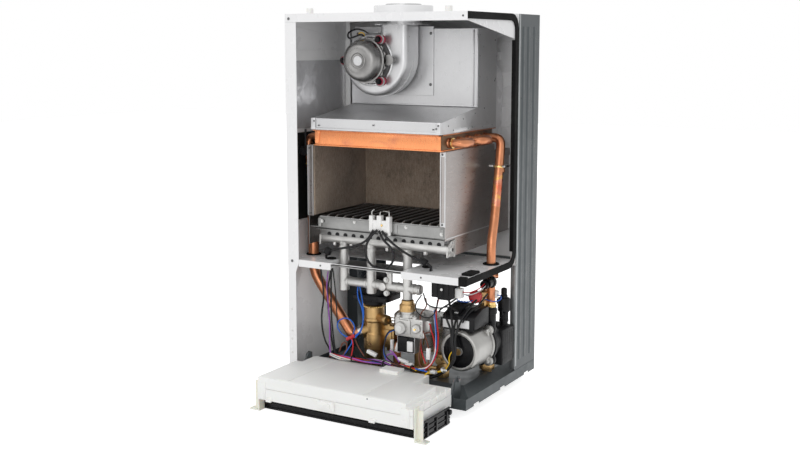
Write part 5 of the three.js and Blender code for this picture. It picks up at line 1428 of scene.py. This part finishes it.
def makeReliefValve():
    look = {"x": 168, "z": 192, "grips": 14, "gripRadius": 11.6}
    x, z = look["x"], look["z"]
    shape = bmesh.new()
    lathe(shape, "y", (x, 0, z), [
        (0, 112.2), (7, 112.2), (7, 118), (8.4, 119), (8.4, 126), (7, 127), (7, 138), (0, 138)], 36)
    rod(shape, "z", (x, 128, 168.2), 24, 6, edge=0.5)
    block(shape, (162.2, 124.2, 169.2), (175.8, 139.4, 180.8), 1.4)
    nut(shape, x, z, 8.6, 0.2, "y", 128, 135, 0.7)
    finishPiece("reliefValveBody", shape, "brass", hides="relief_valve")
    shape = bmesh.new()
    lathe(shape, "y", (x, 0, z), [
        (0, 92), (9.4, 92), (11, 92.6), (12, 94.6), (12, 104.6), (11.2, 107.6), (9.4, 111.2), (8.6, 111.7),
        (0, 111.7)])
    for u, v in around(look["gripRadius"], evenly(look["grips"])):
        rod(shape, "y", (x + u, 95, z + v), 9, 1.1, sides=8, edge=0.2)
    finishPiece("reliefKnob", shape, "redPlastic", body="relief_handle", hides="relief_knob")


makeManifold()
makeGasValve()
makeGasCoil()
makeGasInlet()
makeFlowPipe()
makeReturnPipe()
makeOtherPipes()
makeDiverter()
makeActuator()
makePlateEdges()
makeColdInlet()
makePump()
makePumpBox()
makePumpHousing()
makeAirVent()
makeReliefValve()
print("gas train and water pieces made")


# Igniter, plugs and leads.
def makeIgniterTrim():
    look = {"ribs": (108, 120, 132), "screws": (232.6, 212)}
    shape = bmesh.new()
    for x in look["ribs"]:
        block(shape, (x, 44.6, 198), (x + 7, 46.2, 232), 0.5)
    blocks(shape, ((100.4, 48, 230), (147.6, 76, 236.6), 0.8), ((112, 50, 190.6), (138, 60, 195.4), 0.8))
    finishPiece("igniterRibs", shape, "blackPlastic")
    shape = bmesh.new()
    for z in look["screws"]:
        rod(shape, "y", (124, 43.9, z), 0.8, 2.6, sides=20)
    finishPiece("igniterScrews", shape, "zincSteel")


def makePlugs():
    # Loose crimp housings and plugs along the wires, each with its low and high corner and its lean.
    look = {"White": (((147.4, 54, 196), (160, 68, 215), 0), ((180, 150, 182), (190, 160, 196), 0.2),
                      ((99, 30, 76), (107, 36, 98), 0), ((-36, 31, 66), (-14, 39, 73), 0.3),
                      ((34, 31, 62), (58, 37, 68), 0.25), ((52, 31, 56), (68, 37, 62), -0.2),
                      ((4, 56, 70), (10, 62, 96), 0), ((18, 52, 74), (29, 58, 92), 0.25),
                      ((96, 44, 168), (108, 52, 176), 0.1)),
            "Black": (((-128, 22, 259), (-116, 32, 272), 0.4), ((88, 20, 262), (103, 30, 272), 0.5)),
            "Red": (((-84, 30, 92), (-62, 36, 99), -0.5),), "inset": 0.18}
    for colour in ("White", "Black", "Red"):
        shape = bmesh.new()
        for low, high, lean in look[colour]:
            turn = Matrix.Rotation(lean, 4, "Y")
            block(shape, low, high, 0.9, turn)
            low, high = Vector(low), Vector(high)
            inset = (high - low) * look["inset"]
            block(shape, (low.x + inset.x, low.y - 0.7, low.z + inset.z),
                  (high.x - inset.x, low.y + 1, high.z - inset.z), 0.3, turn)
        finishPiece("wirePlugs" + colour, shape, colour.lower() + "Plastic")


def makeIgnitionLeads():
    look = {
        "leads": (
            [(-9, 15, 319), (-22, 14, 300), (-46, 14, 286), (-84, 20, 276), (-116, 26, 266), (-126, 28, 258),
             (-130, 33, 250)],
            [(0, 14, 320), (-13, 13, 306), (-24, 13, 285), (-20, 14, 258), (2, 15, 246), (26, 16, 252),
             (35, 17, 270), (30, 17, 286), (14, 15, 302), (4, 14, 319)],
            [(10, 15, 319), (22, 17, 305), (48, 22, 285), (80, 25, 270), (96, 25, 266), (110, 27, 257),
             (108, 30, 250), (104, 46, 246), (104, 58, 240)]),
        "returns": (
            [(-122, 40, 250), (-123, 39, 190), (-122, 38, 130), (-116, 36, 84), (-110, 32, 50),
             (-108, 24, 42), (-106, 15, 44)],
            [(-130, 33, 250), (-131, 42, 246), (-128, 44, 225), (-136, 46, 180), (-128, 42, 110),
             (-118, 38, 66), (-104, 30, 52), (-96, 18, 46)],
            [(-150, 44, 246), (-152, 46, 220), (-146, 46, 170), (-150, 44, 120), (-140, 40, 80),
             (-122, 34, 56), (-118, 20, 46)])}
    wires("ignitionLeads", look["leads"], 2.3, "wireBlack", 4, hides="ignition_lead")
    wires("ignitionReturn", look["returns"], 1.8, "wireBlack", 4, crossing=((-120, 40, 60), (-108, 16, 44)))


def makePumpLeads():
    look = {
        "leads": (
            [(150, 62, 158), (150, 52, 150), (152, 42, 130), (158, 37, 100), (152, 35, 72), (130, 33, 52),
             (112, 30, 44), (106, 22, 42), (104, 12, 44)],
            [(176, 100, 192), (168, 66, 172), (160, 48, 146), (157, 38, 120), (160, 34, 98), (155, 33, 76),
             (134, 31, 54), (114, 28, 45), (108, 20, 42), (106, 10, 44)],
            [(126, 70, 190), (138, 56, 170), (148, 44, 140), (154, 35, 112), (157, 34, 90), (148, 34, 70),
             (128, 31, 50), (110, 29, 42), (102, 21, 41), (100, 11, 44)],
            [(120, 80, 168), (132, 50, 158), (144, 44, 136), (150, 38, 110), (153, 37, 88), (146, 37, 68),
             (126, 34, 54), (108, 31, 47), (98, 20, 43), (96, 11, 44)]),
        "earths": (
            [(154, 46, 97), (150, 42, 96), (145, 38, 86), (146, 35, 74), (142, 32, 64), (130, 29, 57),
             (116, 27, 52), (104, 24, 50), (98, 18, 46), (98, 8, 45)],
            [(142, 32, 62), (128, 24, 58), (112, 18, 56), (106, 12, 50), (108, 4, 45)])}
    wires("pumpLeads", look["leads"], 2.1, "wireBlack", 4, hides="pump_lead",
          crossing=((112, 30, 44), (102, 12, 44)))
    wires("pumpEarth", look["earths"], 1.2, "wireYellow", 4, crossing=((114, 26, 50), (100, 10, 45)))
    shape = bmesh.new()
    merge(shape, cone(6.2, 6.2, 4, 20), aim((136, 31.6, 60), (-14, -3, -14)))
    block(shape, (138, 25, 60), (146, 27.4, 64), 0.5)
    finishPiece("pumpLeadTie", shape, "silverTie")


def behindLid(point):
    # Branches above the bundle stay behind the lid of the folded box.
    look = {"from": 64, "start": (18, 60), "slope": 0.5, "deepest": 32}
    x, y, z = point
    if z <= look["from"]:
        return point
    depth, height = look["start"]
    return x, max(y, min(look["deepest"], depth + (z - height) * look["slope"])), z


def makeHarness():
    # The many-coloured bundle along the back of the control box, and the branches that leave it upwards.
    rng = random.Random(7)
    look = {
        "path": ((-112, 16, 56), (-86, 15, 54), (-58, 16, 55), (-30, 18, 55), (0, 18, 57), (30, 18, 56),
                 (58, 18, 55), (84, 18, 54), (108, 20, 54)),
        "spread": (4.2, 3.4), "twist": 1.15, "radius": 1.3, "ties": (-60, 12, 74),
        "wires": {"Blue": 3, "Red": 3, "Black": 4, "White": 2, "Purple": 2, "Yellow": 1, "Brown": 2}}
    branches = {
        "Blue": [
            [(-84, 20, 58), (-74, 24, 74), (-70, 24, 92), (-84, 22, 96), (-98, 22, 104), (-104, 23, 118),
             (-94, 24, 130), (-76, 24, 132), (-64, 24, 120), (-66, 24, 104), (-68, 24, 98)],
            [(-62, 26, 100), (-50, 30, 112), (-44, 34, 140), (-50, 40, 170), (-58, 44, 196), (-62, 46, 204)],
            [(-62, 27, 96), (-47, 31, 116), (-47, 36, 150), (-62, 42, 180), (-64, 46, 200)],
            [(20, 30, 58), (6, 34, 66), (2, 38, 92), (8, 42, 112), (20, 46, 120)],
            [(96, 24, 56), (112, 28, 70), (118, 34, 100), (114, 40, 140), (106, 48, 172)]],
        "Red": [
            [(-64, 20, 60), (-66, 24, 84), (-70, 24, 94)],
            [(94, 26, 57), (112, 32, 74), (112, 40, 104), (104, 42, 130), (92, 52, 140), (82, 46, 120),
             (80, 44, 96), (96, 34, 66)],
            [(100, 22, 55), (118, 30, 80), (121, 38, 120), (112, 46, 164), (114, 54, 196)]],
        "White": [[(88, 20, 58), (106, 25, 64), (116, 30, 84), (117, 36, 110), (110, 44, 150),
                   (104, 50, 170)]],
        "Purple": [
            [(-112, 18, 58), (-120, 26, 80), (-124, 34, 110), (-132, 42, 150), (-138, 46, 190),
             (-136, 48, 220)],
            [(24, 26, 60), (10, 32, 68), (20, 36, 74), (34, 34, 66)],
            [(40, 30, 62), (26, 34, 76), (14, 38, 80)]],
        "Brown": [
            [(-40, 30, 62), (-56, 34, 78), (-70, 40, 96), (-78, 46, 108)],
            [(103, 33, 98), (94, 38, 116), (82, 40, 140), (80, 44, 160), (88, 50, 174), (86, 52, 190)],
            [(103, 33, 76), (102, 30, 64), (90, 24, 58)],
            [(-84, 18, 58), (-78, 24, 76), (-86, 26, 84), (-94, 22, 66)],
            [(96, 26, 56), (84, 32, 66), (80, 40, 90), (86, 44, 120), (100, 46, 126)]],
        "Black": [
            [(22, 44, 122), (10, 40, 116), (4, 34, 90), (10, 30, 70), (30, 26, 60)],
            [(80, 46, 196), (74, 34, 178), (80, 30, 164), (108, 32, 160), (114, 40, 172), (113, 50, 190)],
            [(84, 46, 200), (96, 40, 182), (118, 44, 176), (136, 52, 178), (150, 64, 168)],
            [(-104, 30, 120), (-110, 34, 190), (-120, 38, 240)]]}
    wide, tall = look["spread"]
    for colour, many in look["wires"].items():
        routes = []
        for _ in range(many):
            first, last = rng.randint(0, 2), rng.randint(6, 9)
            phase, sway = rng.uniform(0, math.tau), rng.uniform(0.6, 1.0)
            routes.append([
                (x + rng.uniform(-3, 3), y + wide * sway * math.cos(phase + i * look["twist"]),
                 z + 3 + tall * sway * math.sin(phase + i * look["twist"]))
                for i, (x, y, z) in enumerate(look["path"][first:last])])
        routes = [[behindLid(point) for point in route] for route in routes + branches.get(colour, [])]
        wires("harness" + colour, routes, look["radius"],
              "wire" + colour, crossing=((0, 30, 88), (0, 17, 60)),
              hides="control_harness" if colour == "Black" else None)
    shape = bmesh.new()
    for x in look["ties"]:
        ring(shape, "x", (x, 17, 58.5), 5.4, 6.1, 3, 28)
    finishPiece("harnessTies", shape, "blackPlastic", body="control_box")
    # ring terminal at the end of the red earth wire
    shape = bmesh.new()
    rod(shape, "x", (108, 20, 55), 8, 1.5, sides=20)
    blocks(shape, ((115, 16, 54.4), (128, 17.4, 60.4), 0.4), ((115, 22.6, 54.4), (128, 24, 60.4), 0.4),
           ((126.4, 16, 54.4), (128, 24, 60.4), 0.4))
    finishPiece("ringTerminal", shape, "silverTie", body="control_box")


def makeSensorLeads():
    look = {
        "Blue": (1.0, [(160, 66, 200), (150, 74, 194), (140, 78, 188), (156, 84, 184), (168, 100, 188),
                       (150, 120, 186), (134, 116, 190)],
                 [(184, 152, 188), (200, 148, 186), (198, 140, 180), (176, 134, 180), (158, 130, 186)]),
        "Red": (1.0, [(160, 62, 208), (168, 72, 206), (178, 92, 210), (182, 116, 218)]),
        "White": (1.0, [(160, 60, 205), (170, 72, 202), (180, 92, 206), (184, 116, 214)]),
        "Black": (1.7, [(150, 58, 196), (134, 46, 182), (126, 40, 176), (118, 46, 168)],
                  [(184, 120, 196), (180, 92, 180), (172, 66, 168), (166, 50, 152)])}
    for colour, (radius, *routes) in look.items():
        wires("sensor" + colour, routes, radius, "wire" + colour)


def makePressureSwitch():
    # It stands in front of the return pipe.
    look = {"x": 182, "z": 216}
    shape = bmesh.new()
    lathe(shape, "y", (look["x"], 118, look["z"]), [
        (0, 0), (9, 0), (9.8, 1), (9.8, 16), (12, 17), (12, 20), (0, 20)], 40)
    finishPiece("pressureSwitch", shape, "glossBlack")
    shape = bmesh.new()
    lathe(shape, "y", (look["x"], 138.2, look["z"]), [(0, 0), (12.4, 0), (12.8, 0.8), (12.4, 2.2), (0, 2.2)],
          36)
    block(shape, (172, 140.2, 209), (184, 146, 223), 0.6)
    finishPiece("pressureSwitchRim", shape, "zincSteel")


makeIgniterTrim()
makePlugs()
makeIgnitionLeads()
makePumpLeads()
makeHarness()
makeSensorLeads()
makePressureSwitch()
print("leads made")


# Control box.
def makeControlTrim():
    look = {"panels": ([(-162, -147), (-96, -147), (-96, 18), (-147, 18), (-147, -29), (-162, -29)],
                       [(-93, -148.6), (67, -148.6), (67, 18.6), (-93, 18.6)],
                       [(70, -147), (155, -147), (155, -41), (109.4, -41), (109.4, 18), (70, 18)]),
            "panelZ": (49.8, 50.8), "hooks": (-146, 82), "ribs": (148, -164.6),
            "buttons": ((-132, 36), (-60, 38)), "teeth": (-112, -86, -50, -30),
            "ledges": (-16.4, -7, 2), "stubs": (-118, -84, -44)}
    # raised lid panels either side of two pressed grooves, and the terminal cover
    shape = bmesh.new()
    for outline in look["panels"]:
        prism(shape, outline, "z", *look["panelZ"], 0.4)
    finishPiece("lidPanels", shape, "whitePlastic", body="control_box")
    # clip, hooks and ribs along the front wall, and what stands out of the right wall
    shape = bmesh.new()
    blocks(shape, ((-26, -155.2, 12.6), (8, -149.4, 27), 1.2), ((-20, -157.2, 16), (2, -154.6, 24), 0.9))
    lathe(shape, "y", (-9, -158.2, 21), [(0, 0), (2.6, 0), (3.2, 0.8), (3.2, 2.2), (0, 2.2)], 24)
    for x in look["hooks"]:
        blocks(shape, ((x, -152, 8), (x + 16, -149.6, 12), 0.6),
               ((x + 2, -154.4, 4.6), (x + 14, -149.6, 8.4), 0.6))
    for x in look["ribs"]:
        blocks(shape, ((x, -151.4, 8), (x + 18, -149.4, 40.4), 0.7),
               ((x + 3, -152.4, 8), (x + 15, -149.4, 20), 0.7))
    for y, z in look["buttons"]:
        lathe(shape, "x", (171.6, y, z), [(0, 0), (4.6, 0), (4.6, 2), (3.6, 2.6), (0, 2.6)], 24)
    for y in look["teeth"]:
        block(shape, (171.4, y, 30), (173, y + 3, 46), 0.4)
    finishPiece("boxClips", shape, "whitePlastic", body="control_box")
    shape = bmesh.new()
    # a dark disc on the front wall is painted shade for the lid's screw hole
    rod(shape, "y", (79, -150.4, 46), 0.8, 1.3, sides=16)
    finishPiece("lidScrewHoleShade", shape, "darkScrew", body="control_box")
    # ledges and stubs of the black front, along its two sides that show
    shape = bmesh.new()
    for z in look["ledges"]:
        blocks(shape, ((-171, -129.6, z), (180, -127.8, z + 2.2), 0.6),
               ((180.6, -127, z), (182.6, -28, z + 2.2), 0.6))
    for y in look["stubs"]:
        block(shape, (180.6, y, -17), (183.6, y + 6, 9), 0.9)
    rod(shape, "x", (180.6, -30, 4), 4.4, 5, sides=28, edge=0.8)
    finishPiece("bezelLedges", shape, "glossBlack", body="control_box")


def makeControls():
    # Dials and the reset key stand out of the face, which is turned to the floor.
    look = {"dials": (("dial1", -60, "heating_dial", "knob_heating"),
                      ("dial2", 10, "water_dial", "knob_water")),
            "y": -78, "keyX": 76, "grips": 24, "gripRadius": 13.5,
            "rims": ((-60, 17.6), (10, 17.6), (76, 8.2))}
    mid = look["y"]
    for name, x, body, node in look["dials"]:
        shape = bmesh.new()
        lathe(shape, "z", (x, mid, 0), [
            (0, -4.6), (13.6, -4.6), (15, -5.4), (15, -7), (13.8, -8), (13.4, -16.6), (12.6, -18),
            (11, -18.2), (10, -17.4), (0, -17.2)], 64)
        for u, v in around(look["gripRadius"], evenly(look["grips"])):
            rod(shape, "z", (x + u, mid + v, -16.4), 8, 0.6, sides=8)
        block(shape, (x - 1.1, mid + 2, -18), (x + 1.1, mid + 12, -16.8), 0.4)
        finishPiece(name, shape, "whitePlastic", body=body, hides=node)
    shape = bmesh.new()
    lathe(shape, "z", (look["keyX"], mid, 0), [
        (0, -0.4), (5.9, -0.4), (5.9, -16.6), (5, -17.8), (3, -18), (0, -17.6)], 36)
    finishPiece("resetKey", shape, "redPlastic", body="reset_key", hides="reset_button")
    shape = bmesh.new()
    for x, r in look["rims"]:
        ring(shape, "z", (x, mid, -19.2), r - 1, r + 1, 0.8, 48)
    finishPiece("dialRims", shape, "silverTie", body="control_box")


makeControlTrim()
makeControls()
print("control box made")


# Light and floor.
def makeWorld():
    # White to the camera and in reflections, a little dimmer as light.
    look = {"dim": 0.8, "full": 1.0}
    world = bpy.data.worlds.new("studio")
    scene.world = world
    world.use_nodes = True
    tree = world.node_tree
    tree.nodes.clear()
    seen = addNode(tree, "LightPath", {})
    bright = calc(tree, "ADD", seen["Is Camera Ray"], seen["Is Glossy Ray"], clamp=True)
    bright = calc(tree, "ADD", bright, seen["Is Transmission Ray"], clamp=True)
    back = addNode(tree, "Background", {
        "Color": (1, 1, 1), "Strength": ranged(tree, bright, 0, 1, look["dim"], look["full"])})
    addNode(tree, "OutputWorld", {"Surface": back["Background"]})


def makeFloor():
    look = {"size": 14, "z": -0.6196, "paper": (0.86, 0.86, 0.86),
            "rough": 0.9, "specular": 0.1, "glow": 0.75}
    bpy.ops.mesh.primitive_plane_add(size=look["size"], location=(0, 0, look["z"]))
    floor = bpy.context.object
    floor.name = "stageFloor"
    tree, shader = newMaterial("stagePaper")
    seen = addNode(tree, "LightPath", {})
    either = calc(tree, "MAXIMUM", seen["Is Camera Ray"], seen["Is Glossy Ray"])
    for key, value in (("Base Color", look["paper"]), ("Roughness", look["rough"]),
                       ("Specular IOR Level", look["specular"]), ("Emission Color", (1, 1, 1)),
                       ("Emission Strength", calc(tree, "MULTIPLY", either, look["glow"]))):
        feed(tree, shader, key, value)
    floor.data.materials.append(materials["stagePaper"])


def makeLamps():
    look = {"keyLamp": ((-0.9, -2.6, 0.9), (0.05, -0.1, -0.1), 1.6, 6),
            "frontLamp": ((0.8, -2.7, 0.35), (0.02, 0, -0.1), 1.5, 10),
            "topLamp": ((0.3, -0.7, 2.3), (0, -0.15, 0), 1.4, 5)}
    for name, (place, target, size, power) in look.items():
        data = bpy.data.lights.new(name, "AREA")
        data.shape = "DISK"
        data.size = size
        data.energy = power
        lamp = bpy.data.objects.new(name, data)
        lamp.location = place
        lamp.rotation_euler = (Vector(target) - Vector(place)).to_track_quat("-Z", "Y").to_euler()
        scene.collection.objects.link(lamp)


makeWorld()
makeFloor()
makeLamps()
scene.view_settings.view_transform = "Standard"
